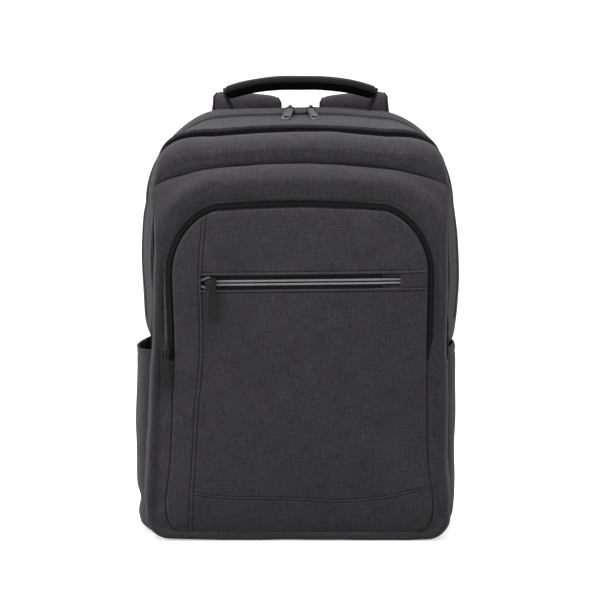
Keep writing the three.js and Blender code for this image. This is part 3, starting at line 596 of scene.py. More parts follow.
def make_pocket():
    u = ring_places(18, 16, 120, 84, 56)
    at, run, marks = along_rows(POCKET_ROWS, [2, CREASE_ROW], 0.4, 1.4)
    y, form = form_of(POCKET_ROWS, at)
    x, z = around(u[None, :], form, pocket_sides(along_table(POCKET_TURN, at)))
    points = points_of(x, y, z)
    # The base rises towards its corners, more on the left.
    points[..., 2] += np.where(x < 0, 2.7, 0.6) * (np.abs(x) / (0.9 * HALF)) ** 4.5 * (1 - ease(0, 40, z))
    from_back = (run - marks[0])[:, None]
    from_crease = (run - marks[1])[:, None]
    to_edge = (run[-1] - run)[:, None]
    # The crease between the tiers runs over the top and fades down the sides.
    fold = -1.2 * bump(from_crease, 1.0) * ease(318, 350, z)
    # The cloth below the zipper's end lies over the band.
    flap = 0.9 * (1 - ease(FRONT_ZIP_END - 1.2, FRONT_ZIP_END, z)) * ease(4, 9, from_back) * ease(30, 40, z)
    waves = wavy(points, 60, 1.3) * 0.8 + wavy(points, 24, 4.1) * 0.3
    out = fold + flap + waves * ease(3, 10, from_back) * ease(0, 8, to_edge)
    points = points + outward(points, True, POCKET_MIDDLE) * out[..., None]
    last_x, last_y, last_z = points[-1].T
    beside_zip = ease(FRONT_ZIP_END - 0.8, FRONT_ZIP_END + 0.4, last_z)
    rim = 0.5 + (zip_rim(last_x, last_z) - 0.5) * beside_zip
    rows = []
    for share, sink, under in RIM_ROWS:
        rim_x, rim_z = panel_ring(u, (rim - under)[None, :])
        at_x = last_x * (1 - share) + rim_x[0] * share
        at_z = last_z * (1 - share) + rim_z[0] * share
        on_face = ease(0, 0.5, share)
        at_y = last_y * (1 - on_face) + face_y(at_x, at_z) * on_face
        rows.append(points_of(at_x, at_y + sink, at_z))
    points = np.concatenate([points, rows], 0)
    laid("front_pocket_cloth", points, True, POCKET_MIDDLE, MELANGE, node="front_pocket_shell")


def upright_seam(z):
    """The seam down the left of the panel."""
    heights = [10, 48, 81, 113, 135, 157, 202, 268, 295, 324]
    places = [-109.3, -107.6, -105.3, -103.6, -102.5, -99.7, -97.0, -98.3, -96.7, -93.9]
    return through(heights, places, z)


def level_seam(x):
    """The seam across the foot of the panel."""
    places = [-105, -72, -18, 0, 40, 81, 107, 127]
    heights = [48.2, 44.5, 43.4, 42.8, 41.1, 44.5, 50.0, 53.7]
    return through(places, heights, x)


CHEST_HALF = 98.0
CHEST_WIDE = 7.0
# How far each row of stitches is from the middle of its seam or zipper.
UPRIGHT_STITCH, LEVEL_STITCH, CHEST_STITCH = 1.9, 1.5, CHEST_WIDE + 3.3
TURNED_EDGE = 2.6


def chest_line(x):
    """The middle of the chest zipper, which climbs a little to the right."""
    return 258.5 + 1.15 * x / CHEST_HALF


def panel_relief(x, z):
    """How far the panel's cloth stands out towards the front."""
    points = points_of(x, 0.0, z)
    out = wavy(points, 70, 2.2) * 0.9 + wavy(points, 28, 5.5) * 0.22
    left = x - upright_seam(z)
    right_part = ease(-0.5, 1.5, left)
    foot = z - level_seam(x)
    for side in (-1, 1):
        out = out - 1.1 * bump(left - side * UPRIGHT_STITCH, 0.55)
        out = out - 0.9 * bump(foot - side * LEVEL_STITCH, 0.5) * right_part
    out = out + 0.2 * bump(left, 1.3) + 0.1 * bump(foot, 1.0) * right_part
    # The chest zipper's bed, its two lips and the plain welt that runs on to the right.
    across = np.abs(z - chest_line(x)) - CHEST_WIDE
    in_zip = 1 - ease(CHEST_HALF - 0.4, CHEST_HALF + 0.3, np.abs(x))
    to_edge = ease(-CHEST_HALF - 1, -CHEST_HALF + 0.5, x)
    out = out - 2.2 * in_zip * (1 - ease(-0.3, 0.4, across))
    out = out + to_edge * (0.5 * bump(across - 1.3, 0.9) - 0.7 * bump(across - 3.3, 0.5))
    out = out - 0.7 * to_edge * (1 - in_zip) * bump(across - 0.1, 0.5)
    inside = rim_distance(x, z, panel_ring(ring_places(60, 30, 160, 120, 80)))
    t = 1 - np.clip(inside, 0, TURNED_EDGE) / TURNED_EDGE
    return out - TURNED_EDGE * (1 - np.sqrt(np.maximum(1 - t * t, 0)))


def panel_y(x, z):
    """The depth of the front panel's cloth at a place."""
    return face_y(x, z) - 0.8 - panel_relief(x, z)


def make_panel():
    profile = ring_places(1, 12, 200, 90, 24)
    ring_x, ring_z = (part[0] for part in panel_ring(profile))
    half = len(profile) // 2 + 1
    right = slice(1, half)
    left = slice(len(profile) - 2, half - 2, -1)
    chest = chest_line(0)
    foot = level_seam(0.0)
    marks = (PANEL_BOTTOM, PANEL_TOP, foot, chest - CHEST_WIDE, chest + CHEST_WIDE)
    rows = march(PANEL_BOTTOM, PANEL_TOP, marks, 0.45, 2.2)
    seam = -PANEL_HALF + 25.0
    marks = (-PANEL_HALF, PANEL_HALF, seam, -CHEST_HALF, CHEST_HALF)
    columns = march(-PANEL_HALF, PANEL_HALF, marks, 0.45, 2.2)[None, :]
    from_left = np.interp(rows, ring_z[left], ring_x[left])[:, None]
    to_right = np.interp(rows, ring_z[right], ring_x[right])[:, None]
    seam_at = np.minimum(np.maximum(upright_seam(rows)[:, None], from_left + 6), to_right)
    to_seam = from_left + (columns + PANEL_HALF) / (seam + PANEL_HALF) * (seam_at - from_left)
    from_seam = seam_at + (columns - seam) / (PANEL_HALF - seam) * (to_right - seam_at)
    x = np.where(columns < seam, to_seam, from_seam)
    z = np.repeat(rows[:, None], columns.size, 1)
    # The rows follow the foot's seam and the chest zipper near them.
    by_foot = 1 - np.clip(np.abs(z - foot) / 28, 0, 1)
    z = z + by_foot * (level_seam(x) - foot) * ease(0, 8, z - PANEL_BOTTOM)
    z = z + (1 - np.clip(np.abs(z - chest) / 40, 0, 1)) * (chest_line(x) - chest)
    points, weave = points_of(x, panel_y(x, z), z), np.stack([x, z], -1)
    laid("front_panel_cloth", points, False, (0, 0, 200), MELANGE, weave, node="front_panel")


# Strips, threads, swept pieces and castings


def evenly(line, step):
    """A line of points, with or without normals beside them, again with points that far apart."""
    run = run_of(line)
    places = np.linspace(0, run[-1], max(round(run[-1] / step), 2) + 1)
    return np.stack([np.interp(places, run, line[:, k]) for k in range(line.shape[1])], -1)


def strip_on(name, line, half, height, material, steps=9, node=None):
    """A narrow strip along a line of points and normals, height(s, run) above it, s from -1 to 1 across."""
    spot, normal = line[:, :3], unit(line[:, 3:])
    side = unit(np.cross(np.gradient(spot, axis=0), normal))
    s = np.linspace(-1, 1, steps)[:, None]
    run = run_of(line)[None, :]
    up = np.broadcast_to(height(s, run), (steps, len(line)))
    points = spot + side * (s * half)[..., None] + normal * up[..., None]
    weave = np.stack(np.broadcast_arrays(run, s * half), -1)
    return laid(name, points, False, BAG_MIDDLE, material, weave, node=node)


def coil_height(rise, pitch):
    """A zipper's coil: round across, with a ridge for each turn."""
    return lambda s, run: rise * np.sqrt(1 - s**2) * (0.68 + 0.32 * np.cos(2 * math.pi * run / pitch)) - 0.05


def round_height(rise):
    """A rolled edge or a thread: round across."""
    return lambda s, run: rise * np.sqrt(1 - s**2)


def stitches(name, lines, long=2.4, pitch=3.3, thick=0.5):
    """Thread along lines of points and normals, each stitch sunk into the cloth at its ends."""
    bm = bmesh.new()
    for line in lines:
        line = evenly(line, pitch)
        for spot, along, up in zip(line[:, :3], np.gradient(line[:, :3], axis=0), line[:, 3:]):
            along = Vector(along).normalized()
            beside = Vector(up).cross(along).normalized()
            turn = Matrix((along, beside, along.cross(beside))).transposed().to_4x4()
            size = Matrix.Diagonal((long / 2, thick / 2, thick / 2, 1 / MM)) * MM
            place = Matrix.Translation(Vector(spot) * MM) @ turn @ size
            bmesh.ops.create_uvsphere(bm, u_segments=6, v_segments=4, radius=1, matrix=place)
    piece_from(name, bm, THREAD)


def superellipse(count, power):
    """A closed ring from -1 to 1 both ways, square for a high power."""
    turn = np.linspace(0, 2 * math.pi, count + 1)
    return tuple(np.sign(c) * np.abs(c) ** (2 / power) for c in (np.cos(turn), np.sin(turn)))


def swept(name, centres, across, out, half, thick, ring, material, body="bag", node=None):
    """A ring carried along a line of centres, half wide and thick deep at each of them."""
    a, b = ring
    across, out = (np.broadcast_to(way, centres.shape)[:, None] for way in (across, out))
    wide = (a * np.reshape(half, (-1, 1)))[..., None]
    deep = (b * np.reshape(thick, (-1, 1)))[..., None]
    points = centres[:, None] + across * wide + out * deep
    return laid(name, points, True, centres.mean(0), material, body=body, caps=True, node=node)


def refined(node, name, material, body, width, low_round=0.0, segments=2):
    """A casting: the node's own shape with its edges rounded, and its lowest upright corners more."""
    bm = bmesh.new()
    bm.from_mesh(bpy.data.objects[node].data)
    bmesh.ops.remove_doubles(bm, verts=bm.verts, dist=2e-6)
    bmesh.ops.dissolve_limit(bm, angle_limit=math.radians(1), verts=bm.verts, edges=bm.edges)
    bm.normal_update()

    def rounded(edges, by, steps):
        bmesh.ops.bevel(
            bm, geom=edges, offset=by * MM, segments=steps, profile=0.5, affect="EDGES", material=-1,
            clamp_overlap=True,
        )

    if low_round:
        low = min(v.co.z for v in bm.verts) + 2 * low_round * MM
        deep = [e for e in bm.edges if abs((e.verts[0].co - e.verts[1].co).normalized().y) > 0.9]
        rounded([e for e in deep if max(v.co.z for v in e.verts) < low], low_round, 5)
    sharp = [e for e in bm.edges if len(e.link_faces) == 2 and e.calc_face_angle(0) > math.radians(28)]
    rounded(sharp, width, segments)
    layer = bm.loops.layers.uv.new("weave")
    for face in bm.faces:
        for loop in face.loops:
            loop[layer].uv = loop.vert.co.xz
    return piece_from(name, bm, material, body, node)


# Zippers


def main_line(at, low_z, step, lift):
    """Points and normals along the middle one of three rows of the main compartment, above low_z."""
    points = main_surface(np.linspace(0.03, 0.97, 3000), at)
    normal = outward(points, False, BAG_MIDDLE)[1]
    spot = points[1] + normal * (main_waves(points[1]) + lift)[:, None]
    return evenly(np.concatenate([spot, normal], -1)[spot[:, 2] > low_z], step)


def zip_line(behind, low_z, step, lift):
    """A line on the main compartment that far behind the middle of its zipper."""
    return main_line(row_at(ZIP_Y + behind + np.array([-0.5, 0, 0.5])), low_z, step, lift)


def make_main_zipper():
    tape = zip_line(0, ZIP_END - 2, 1.6, -1.0)
    strip_on("main_zipper_tape", tape, 4.9, lambda s, run: 0.0, TAPE, 5, "main_zipper")
    coil = zip_line(0, ZIP_END, 0.32, -1.0)
    strip_on("main_zipper_coil", coil, 2.9, coil_height(2.1, 1.7), COIL)
    strip_on("main_zipper_edge", zip_line(-3.9, ZIP_END, 1.0, -0.9), 0.9, round_height(1.7), TAPE, 7)
    middle = coil[np.abs(coil[:, 0]) < 8]
    strip_on("main_zipper_teeth", middle, 4.0, coil_height(2.6, 1.7), TAPE)
    stitches("main_zipper_stitches", [zip_line(behind, ZIP_END + 2, 1.5, 0.08) for behind in (-8.4, 8.4)])


def make_tier_groove_shade():
    """A dark strip along the groove where the front pocket's first tier meets the main compartment: painted
    shade for the shadow in that groove.
    """
    line = main_line(np.array([3.4, 3.7, 4.0]), 262, 1.5, -0.3)
    # Thread-dark strip laid in the groove: painted shade.
    strip_on("front_pocket_groove_shade", line, 0.8, round_height(1.0), THREAD, 7)


def face_line(x, z, sink, step):
    """Points on the front face, that far behind it, with normals."""
    spot = points_of(x, face_y(x, z) + sink, z)
    tilt_x = face_y(x + 0.5, z) - face_y(x - 0.5, z)
    tilt_z = face_y(x, z + 0.5) - face_y(x, z - 0.5)
    return evenly(np.concatenate([spot, unit(points_of(tilt_x, -1.0, tilt_z))], -1), step)


def arch_line(grow, sink, step, left_only=False):
    """A line round the panel's outline, grow outside it, above the ends of the zipper."""
    u = np.linspace(0.03, 0.97, 3000)
    x, z = (part[0] for part in panel_ring(u, grow(*panel_ring(u))))
    keep = z > FRONT_ZIP_END
    if left_only:
        keep = keep & (x < 0) & (z < 300)
    return face_line(x[keep], z[keep], sink, step)


def make_front_zipper():
    u = np.linspace(0.03, 0.97, 1400)
    u = u[panel_ring(u)[1][0] > FRONT_ZIP_END - 2.5]
    rim = zip_rim(*panel_ring(u))
    grow = -2.2 + np.linspace(0, 1, 29)[:, None] * (rim + 3.0)
    x, z = panel_ring(u, grow)
    # The tape dips beside the panel's turned edge and where the pocket's cloth lies over it.
    sink = 1.25 + 2.4 * (1 - ease(0.8, 2.0, grow)) + 2.2 * ease(rim - 1.5, rim - 0.6, grow)
    points = points_of(x, face_y(x, z) + sink, z)
    along = run_of(points[len(points) // 2])
    weave = np.stack(np.broadcast_arrays(along[None, :], grow), -1)
    laid("front_zipper_tape", points, False, BAG_MIDDLE, TAPE, weave, node="front_zipper")
    coil = arch_line(lambda x, z: 8.7, 1.35, 0.32, left_only=True)
    strip_on("front_zipper_coil", coil, 1.9, coil_height(1.0, 1.7), COIL, 7)
    stitches("front_zipper_stitches", [arch_line(lambda x, z: zip_rim(x, z) + 2.9, 0.05, 1.5)])


def make_fold_shades():
    """A thin dark strip at each end of the arched zipper, across the band to the panel's seam: painted shade
    for the shadow under the cloth's fold there.
    """
    for label, start, end, low, high in (
        ("left", -147.0, -134.5, 181.0, 181.6),
        ("right", 133.0, 143.5, 179.5, 181.5),
    ):
        line = face_line(np.linspace(start, end, 40), np.linspace(low, high, 40), 0.25, 0.5)
        # Thread-dark strip: painted shade of the fold.
        strip_on("front_fold_shade_" + label, line, 0.55, lambda s, run: 0.5 * (1 - s**2), THREAD)


def coil_place(x, side):
    """The height of one row of the chest zipper's coil: apart behind the slider, together after it."""
    behind = 2.2 + (x + CHEST_HALF + 1.4) * 0.38
    joined = 1.75
    share = ease(-91, -86, x)
    return chest_line(x) + side * (behind * (1 - share) + joined * share)


def make_chest_zipper():
    x = np.linspace(-CHEST_HALF - 0.7, CHEST_HALF + 0.7, 80)
    across, up = np.meshgrid(x, np.linspace(-CHEST_WIDE - 0.6, CHEST_WIDE + 0.6, 17))
    z = chest_line(across) + up
    gutter = 0.5 * bump(np.abs(up) - 5.2, 1.0)
    points = points_of(across, face_y(across, z) + 1.0 + gutter, z)
    weave = np.stack([across, up], -1)
    laid("chest_zipper_tape", points, False, BAG_MIDDLE, TAPE, weave, node="chest_zipper")
    x = np.linspace(-CHEST_HALF - 0.6, CHEST_HALF, 1200)
    for side, label in ((1, "upper"), (-1, "lower")):
        line = face_line(x, coil_place(x, side), 1.05, 0.2)
        strip_on("chest_zipper_coil_" + label, line, 1.15, coil_height(1.25, 1.45), SILVER_COIL, 7)


def panel_line(x, z):
    """Points on the front panel's cloth, with normals."""
    spot = points_of(x, panel_y(x, z) - 0.05, z)
    return evenly(np.concatenate([spot, np.broadcast_to((0.0, -1.0, 0.0), spot.shape)], -1), 1.5)


def make_panel_stitches():
    z = np.linspace(14, PANEL_TOP - 12, 260)
    x = np.linspace(upright_seam(48) + 3, 122, 200)
    lines = [panel_line(upright_seam(z) + side * UPRIGHT_STITCH, z) for side in (-1, 1)]
    lines += [panel_line(x, level_seam(x) + side * LEVEL_STITCH) for side in (-1, 1)]
    x = np.linspace(-CHEST_HALF + 1, 121, 200)
    lines += [panel_line(x, chest_line(x) + side * CHEST_STITCH) for side in (-1, 1)]
    stitches("front_panel_stitches", lines, long=2.2, pitch=3.0, thick=0.42)


# Side pockets

SIDE_FOOT, SIDE_TOP, SIDE_WALL = 2.5, 189.0, 2.2
SIDE_FROM, SIDE_LENGTH = -21.5, 84.0
SIDE_INNER = 0.905 * HALF - LOW
SIDE_OUT_Z = [0.0, 0.03, 0.09, 0.165, 0.25, 0.55, 0.86, 0.93, 0.97, 1.0]
SIDE_OUT = {
    -1: [0.5, 0.84, 0.95, 0.83, 1.02, 1.06, 0.96, 0.95, 0.92, 0.86],
    1: [-0.1, 0.4, 0.78, 0.87, 0.9, 0.94, 0.88, 0.76, 0.5, 0.12],
}
SIDE_BULGE = {-1: 19.2, 1: 11.0}


def side_mouth(back, side):
    """How far the mouth's hem rises above its lowest place: it slants up to the back."""
    return (10 * back**3 - 3.4) if side < 0 else (6.5 * ease(0.0, 0.4, back) - 4.5)


def make_side_pocket(side, label):
    turn = np.linspace(0, math.pi, 72)[None, :]
    floor = np.linspace(0.1, 1, 7)[:-1]
    outer = march(0.0, 1.0, (0.0, 1.0), 0.006, 0.03, 0.12)
    rim = np.linspace(0, math.pi, 9)[1:]
    inner = np.linspace(0.99, 0.12, 26)

    def rows(on_floor, on_outer, on_rim, on_inner):
        """A value for each row: over the floor, up the outer face, over the rim and down inside."""
        parts = (floor, on_floor), (outer, on_outer), (rim, on_rim), (inner, on_inner)
        return np.concatenate([0 * places + value for places, value in parts])[:, None]

    up = rows(0, outer, 1, inner)
    reach = rows(floor, 1, 1, 1)
    lift = rows(0, 0, 0.5 * SIDE_WALL * np.sin(rim), 0)
    inset = rows(0, 0, 0.5 * SIDE_WALL * (1 - np.cos(rim)), SIDE_WALL)
    mouth = side_mouth(turn / math.pi, side)
    z = SIDE_FOOT + up * (SIDE_TOP - SIDE_FOOT + mouth) + lift
    body = HALF * through(MAIN_SIDE_Z, MAIN_SIDE[side], np.minimum(z, SIDE_TOP + 2) / BODY)
    out = body + SIDE_BULGE[side] * through(SIDE_OUT_Z, SIDE_OUT[side], up)
    if side < 0:
        out = out - 5 * ease(0.86, 1, up) * ease(0.5, 0.95, turn / math.pi)
    full = np.sin(turn) ** 0.32
    soft = wavy(points_of(side * 3, turn * 30, z), 34, 6.2) * full * ease(0.05, 0.2, up)
    hem = 0.5 * bump(SIDE_TOP - 8 - z + mouth, 1.0) * (inset < 1)
    x = side * (SIDE_INNER + (out - inset - hem + 0.9 * soft - SIDE_INNER) * reach * full)
    y = SIDE_FROM + inset + (SIDE_LENGTH - 2 * inset) * (1 - np.cos(turn)) / 2
    points = points_of(x, y, z)
    # The weave runs round the pocket and up its rows.
    turned, risen = run_of(points[40])[None, :], summed(spans(points).mean(1))[:, None]
    weave = np.stack(np.broadcast_arrays(turned, risen), -1)
    inside = (side * SIDE_INNER, SIDE_FROM + SIDE_LENGTH / 2, 100)
    laid("side_pocket_cloth_" + label, points, False, inside, MELANGE, weave, node="side_pocket_" + label)


# Carrying handle

HANDLE_Y, HANDLE_HALF, HANDLE_TOP, HANDLE_FALL = 52.0, 79.0, 460.6, 12.0


def grip_part(name, node, below, thick, width, reach_high, reach_low, material, power):
    """Part of the grip: an arched bar whose ends slant from reach_high at the top to reach_low."""
    t = np.sin(np.linspace(-math.pi / 2, math.pi / 2, 141))[:, None]
    a, b = superellipse(56, power)
    x = t * (reach_low + (reach_high - reach_low) * (b + 1) / 2)
    arch = HANDLE_TOP - HANDLE_FALL * (np.abs(x) / HANDLE_HALF) ** 2.6
    close = np.sqrt(np.maximum(1 - np.clip((np.abs(t) - 0.96) / 0.04, 0, 1) ** 3, 0.05))
    z = arch - below - thick / 2 + b * close * thick / 2
    points = points_of(x, HANDLE_Y + a * close * width / 2, z)
    points = points + outward(points, True, (0, HANDLE_Y, 440)) * (wavy(points, 26, 2.9) * 0.25)[..., None]
    part = laid(name, points, True, (0, HANDLE_Y, 450), material, caps=True, node=node)


def make_handle():
    grip_part("handle_grip_cover", "handle_cover", 0, 7.4, 30, 77.0, 79.5, GRIP_CLOTH, 3.8)
    # The lining's near-black colour is partly painted shade under the grip.
    grip_part("handle_grip_lining", "handle_pad", 7.0, 7.6, 28.4, 78.8, 71.5, GRIP_LINING_AND_SHADE, 4.2)
    ring = superellipse(28, 5)
    for side, label in SIDES:
        x = np.array([77.0, 76.6, 75.6, 73.4, 71.2, 69.8, 69.0]) * side
        z = np.array([448, 443, 438.5, 433.5, 429.5, 425, 419.0])
        path = evenly(points_of(x, HANDLE_Y, z), 1.0)
        back = (0.0, 1.0, 0.0)
        out = np.cross(unit(np.gradient(path, axis=0)), back)
        name, node = "handle_webbing_" + label, "handle_leg_" + label
        swept(name, path, back, out, 12.5, 2.3, ring, WEBBING, node=node)


# Shoulder straps and what holds them

BACK_FACE = 75.3
STRAP_MIDDLE = BACK_FACE + 5.3
# height of BODY, out of the reach, side of HALF and width of the full width, down the strap's middle
STRAP_ROWS = [
    (0.9, 0.0, 0.0, 1.0),
    (0.96, 0.0, 0.0, 1.0),
    (1.0, 0.02, 0.0, 1.0),
    (1.018, 0.11, 0.0, 1.0),
    (1.024, 0.27, 0.0, 1.0),
    (1.014, 0.44, 0.0, 1.0),
    (0.98, 0.56, 0.01, 1.0),
    (0.9, 0.7, 0.04, 1.0),
    (0.78, 0.86, 0.12, 1.0),
    (0.64, 0.95, 0.22, 0.97),
    (0.5, 0.86, 0.3, 0.88),
    (0.35, 0.62, 0.34, 0.62),
]
STRAP_REACH, STRAP_WIDE, STRAP_SPACING = 30.0, 70.0, 110.0
STRAP_PAD = 4.9


def smooth_line(knots, count):
    """A smooth line with that many points through rows of knots."""
    run = run_of(knots)
    places = np.linspace(0, run[-1], count)
    return np.stack([through(run, knots[:, k], places) for k in range(knots.shape[1])], -1)


def strap_frame(side):
    """The strap's middle line with half its width, and its directions across and out."""
    height, out, aside, width = np.array(STRAP_ROWS).T
    x = side * (STRAP_SPACING / 2 + aside * HALF)
    line = smooth_line(np.stack([x, STRAP_MIDDLE + out * STRAP_REACH, height * BODY, width], -1), 240)
    for _ in range(12):
        line[1:-1] = (line[:-2] + 2 * line[1:-1] + line[2:]) / 4
    along = unit(np.gradient(line[:, :3], axis=0))
    across = unit(np.array([1.0, 0.0, 0.0]) - along * along[:, :1])
    return line[:, :3], line[:, 3] * STRAP_WIDE / 2, across, np.cross(across, along)


def make_strap(side, label):
    spot, half, across, out = strap_frame(side)
    half = half - 3.0 * ease(434.5, 439.3, spot[:, 2])
    # The upper end is flattened where it is sewn to the back.
    sewn = np.where(spot[:, 1] < STRAP_MIDDLE + 3, 1 - ease(392, 412, spot[:, 2]), 0)
    spot = spot - np.array([0, 1.0, 0]) * (3.9 * sewn)[:, None]
    flat = (1 - 0.72 * sewn)[:, None]

    def ringed(name, wide, deep, material, closed=True, node=None):
        points = spot[:, None] + across[:, None] * wide[..., None] + out[:, None] * (deep * flat)[..., None]
        # The strap's top leans in: its outer edge stands higher than its inner one.
        outer = np.clip((side * points[..., 0] - STRAP_SPACING / 2) / (STRAP_WIDE / 2), -1, 1)
        points[..., 2] += 2.9 * outer * ease(405, 434, points[..., 2])
        return laid(name, points, closed, spot.mean(0), material, caps=closed, node=node)

    def quilt(s):
        return wavy(spot[:, None] + s[:, None] * 20, 40, 1.9) * 0.3

    a, b = superellipse(96, 3.4)
    deep = b * ((1 - 0.22 * ease(0.9, 0.99, np.abs(a))) * STRAP_PAD + quilt(a))
    node = "shoulder_strap_" + label
    pad = ringed("shoulder_strap_cloth_" + label, a * half[:, None], deep, STRAP_CLOTH, node=node)
    # Spacer mesh on the side that lies on the wearer, with its own sewn edge.
    s = np.linspace(-0.9, 0.9, 40)
    upper = len(a) // 2 + 1
    deep = -(np.interp(s, -a[:upper], b[:upper]) * STRAP_PAD + 0.55 * (1 - (np.abs(s) / 0.9) ** 8))
    name = "strap_spacer_mesh_" + label
    lining = ringed(name, s * half[:, None], deep - quilt(s), AIR_MESH, closed=False)
    a, b = superellipse(20, 2.6)
    for edge, which in ((-1, "in"), (1, "out")):
        wide = (edge * side * (half - 0.7))[:, None] + a * 1.3
        ringed(f"strap_binding_{label}_{which}", wide, b * 2.9, BINDING)


def middle_of(node):
    """The middle of a node's box, in mm."""
    low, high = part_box(node)
    return (low + high) / 2 / MM


def make_strap_foot(side, label):
    lock, tab = "strap_adjuster_" + label, "strap_anchor_" + label
    refined(lock, "strap_ladder_lock_" + label, ACETAL, "bag", 0.9, segments=3)
    refined(tab, "strap_anchor_cloth_" + label, STRAP_CLOTH, "bag", 0.8)
    middle, anchor = middle_of(lock), middle_of(tab)
    halfway = (middle + anchor) / 2
    knots = [
        (middle.x, middle.y + 1.4, middle.z + 8.5),
        (middle.x, middle.y, middle.z + 3),
        (middle.x, middle.y - 1.6, middle.z - 7),
        (halfway.x, halfway.y - 2, halfway.z + 4),
        (anchor.x, anchor.y + 3.2, anchor.z + 18),
        (anchor.x, anchor.y + 2.2, anchor.z - 6),
    ]
    path = smooth_line(np.array(knots), 90)
    along = unit(np.gradient(path, axis=0))
    across = unit(np.array([1.0, 0, 0]) - along * along[:, :1])
    name, node, ring = "strap_webbing_" + label, "strap_web_" + label, superellipse(24, 5)
    swept(name, path, across, np.cross(across, along), 12.5, 0.9, ring, WEBBING, node=node)
    # A box of stitches with a cross in it, on the back of the anchor.
    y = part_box(tab)[1].y / MM + 2.05
    box = [(-9, 10), (9, 10), (9, -10), (-9, -10), (-9, 10), (9, -10)]
    cross = [*zip(box, box[1:]), ((9, 10), (-9, -10))]
    lines = [np.array([(anchor.x + a, y, anchor.z - 2 + b, 0, 1, 0) for a, b in ends]) for ends in cross]
    stitches("strap_anchor_stitches_" + label, lines)


BACK_RIM = 67.0


def make_back():
    """The padded back: two columns of pads under spacer mesh, with air channels between them."""
    rim_row = np.array([len(MAIN_ROWS) - 2.0])
    form, sides = form_of(MAIN_ROWS, rim_row)[1], main_sides(rim_row)
    u = ring_places(40, 30, 200, 120, 80)
    ring = around(u[None, :], form, sides, -1.2)
    ring_x, ring_z = ring[0][0], ring[1][0]
    half = len(u) // 2 + 1
    low, high = ring_z.min(), ring_z.max()
    rows = march(low, high, (low, high), 0.5, 3.0)
    share = march(-1.0, 1.0, (-1.0, 1.0), 0.004, 0.022)
    grow = np.arange(half) * 1e-6
    to_right = np.interp(rows, ring_z[:half] + grow, ring_x[:half])[:, None]
    to_left = np.interp(rows, ring_z[half - 1 :][::-1] + grow, ring_x[half - 1 :][::-1])[:, None]
    x = to_left + (to_right - to_left) * (share + 1) / 2
    z = np.repeat(rows[:, None], len(share), 1)
    inside = rim_distance(x, z, ring)
    between = ease(3, 15, np.abs(z - 150)) * ease(3, 15, np.abs(z - 262))
    pads = ease(0, 16, np.abs(x) - 11) * between * ease(4, 18, inside) * ease(0, 14, z - 24)
    y = BACK_RIM + 2.6 * (1 - (1 - np.clip(inside, 0, 5) / 5) ** 2) + 4.6 * pads
    points, weave = points_of(x, y, z), np.stack([x, z], -1)
    skin = laid("back_pad_mesh", points, False, POCKET_MIDDLE, AIR_MESH, weave, node="back_panel")
    x, z = around(ring_places(16, 16, 90, 60, 40)[None, :], form, sides, -0.6)
    line = points_of(x[0], BACK_RIM, z[0])
    back = np.array([0.0, 1.0, 0.0])
    side = np.cross(unit(np.gradient(line, axis=0)), back)
    a, b = superellipse(16, 2)
    points = line[:, None] + side[:, None] * (a * 2.3)[:, None] + back * (b * 2.6)[:, None]
    laid("back_binding", points, True, (0, BACK_RIM, 210), BINDING)


# Sliders and pulls


def blacken_eye(tab, body):
    """The pull's rolled eye is painted black like the slider's bridge."""
    hinge = Vector(next(joint["pos_m"] for joint in frame["joints"] if joint["child"] == body))
    tab.data.materials.append(BLACK_METAL)
    for face in tab.data.polygons:
        away = face.center - hinge
        if math.hypot(away.y, away.z) < 3.2 * MM:
            face.material_index = 1


def make_hardware():
    for _, label in SIDES:
        refined("main_slider_" + label, "main_slider_body_" + label, BLACK_METAL, "bag", 0.5)
        body = "main_tab_" + label
        blacken_eye(refined("main_pull_" + label, "main_pull_tab_" + label, GUNMETAL, body, 0.4), body)
    for place in ("chest", "front"):
        refined(place + "_slider", place + "_slider_body", BLACK_METAL, "bag", 0.5)
    refined("chest_pull", "chest_pull_core", PULL_RUBBER, "chest_tab", 0.3, 1.5)
    refined("front_pull", "front_pull_tab", PULL_RUBBER, "front_tab", 0.35, 2.6)
    make_sleeve()
    make_pull_ring()


def make_sleeve():
    """A thick moulded sleeve with wide chamfers on the chest pull."""
    middle = middle_of("chest_pull")
    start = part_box("chest_pull")[0].z / MM - 0.4
    z = start + np.r_[np.linspace(0, 1, 12) ** 2 * 4.4, np.linspace(5.5, 28.5, 24)]
    from_low = z - z[0]

    def rounded(reach, least):
        return np.sqrt(np.clip(1 - (1 - np.minimum(from_low / reach, 1)) ** 2, least, 1))

    half = 5.5 * rounded(4.4, 0.03) * (1 - 0.08 * from_low / 28)
    deep = 1.75 * rounded(2.2, 0.1) * (1 - 0.35 * ease(24, 28.5, from_low))
    ring = np.array([(-1, 0), (-0.48, -1), (0.42, -1), (1, 0.1), (0.86, 0.8), (-0.86, 0.8), (-1, 0)]).T
    path = points_of(middle.x, middle.y, z)
    ways = (1.0, 0.0, 0.0), (0.0, 1.0, 0.0)
    sleeve = swept("chest_pull_sleeve", path, *ways, half, deep, ring, PULL_RUBBER, "chest_tab")
    sleeve.data.shade_flat()


def make_pull_ring():
    """A raised ring near the lower end of the front pull."""
    low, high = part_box("front_pull")
    upright = Matrix.Rotation(math.pi / 2, 3, "X")
    bm = bmesh.new()
    rim = bmesh.ops.create_circle(bm, segments=12, radius=0.55 * MM)["verts"]
    bmesh.ops.rotate(bm, verts=rim, cent=(0, 0, 0), matrix=upright)
    bmesh.ops.translate(bm, verts=rim, vec=(2.3 * MM, 0, 0))
    bmesh.ops.spin(
        bm, geom=bm.edges[:], cent=(0, 0, 0), axis=(0, 0, 1), angle=2 * math.pi, steps=32, use_merge=True
    )
    bmesh.ops.rotate(bm, verts=bm.verts, cent=(0, 0, 0), matrix=upright)
    place = ((low.x + high.x) / 2, low.y + 0.1 * MM, low.z + 5.6 * MM)
    bmesh.ops.translate(bm, verts=bm.verts, vec=place)
    bmesh.ops.recalc_face_normals(bm, faces=bm.faces)
    piece_from("front_pull_ring", bm, PULL_RUBBER, "front_tab")


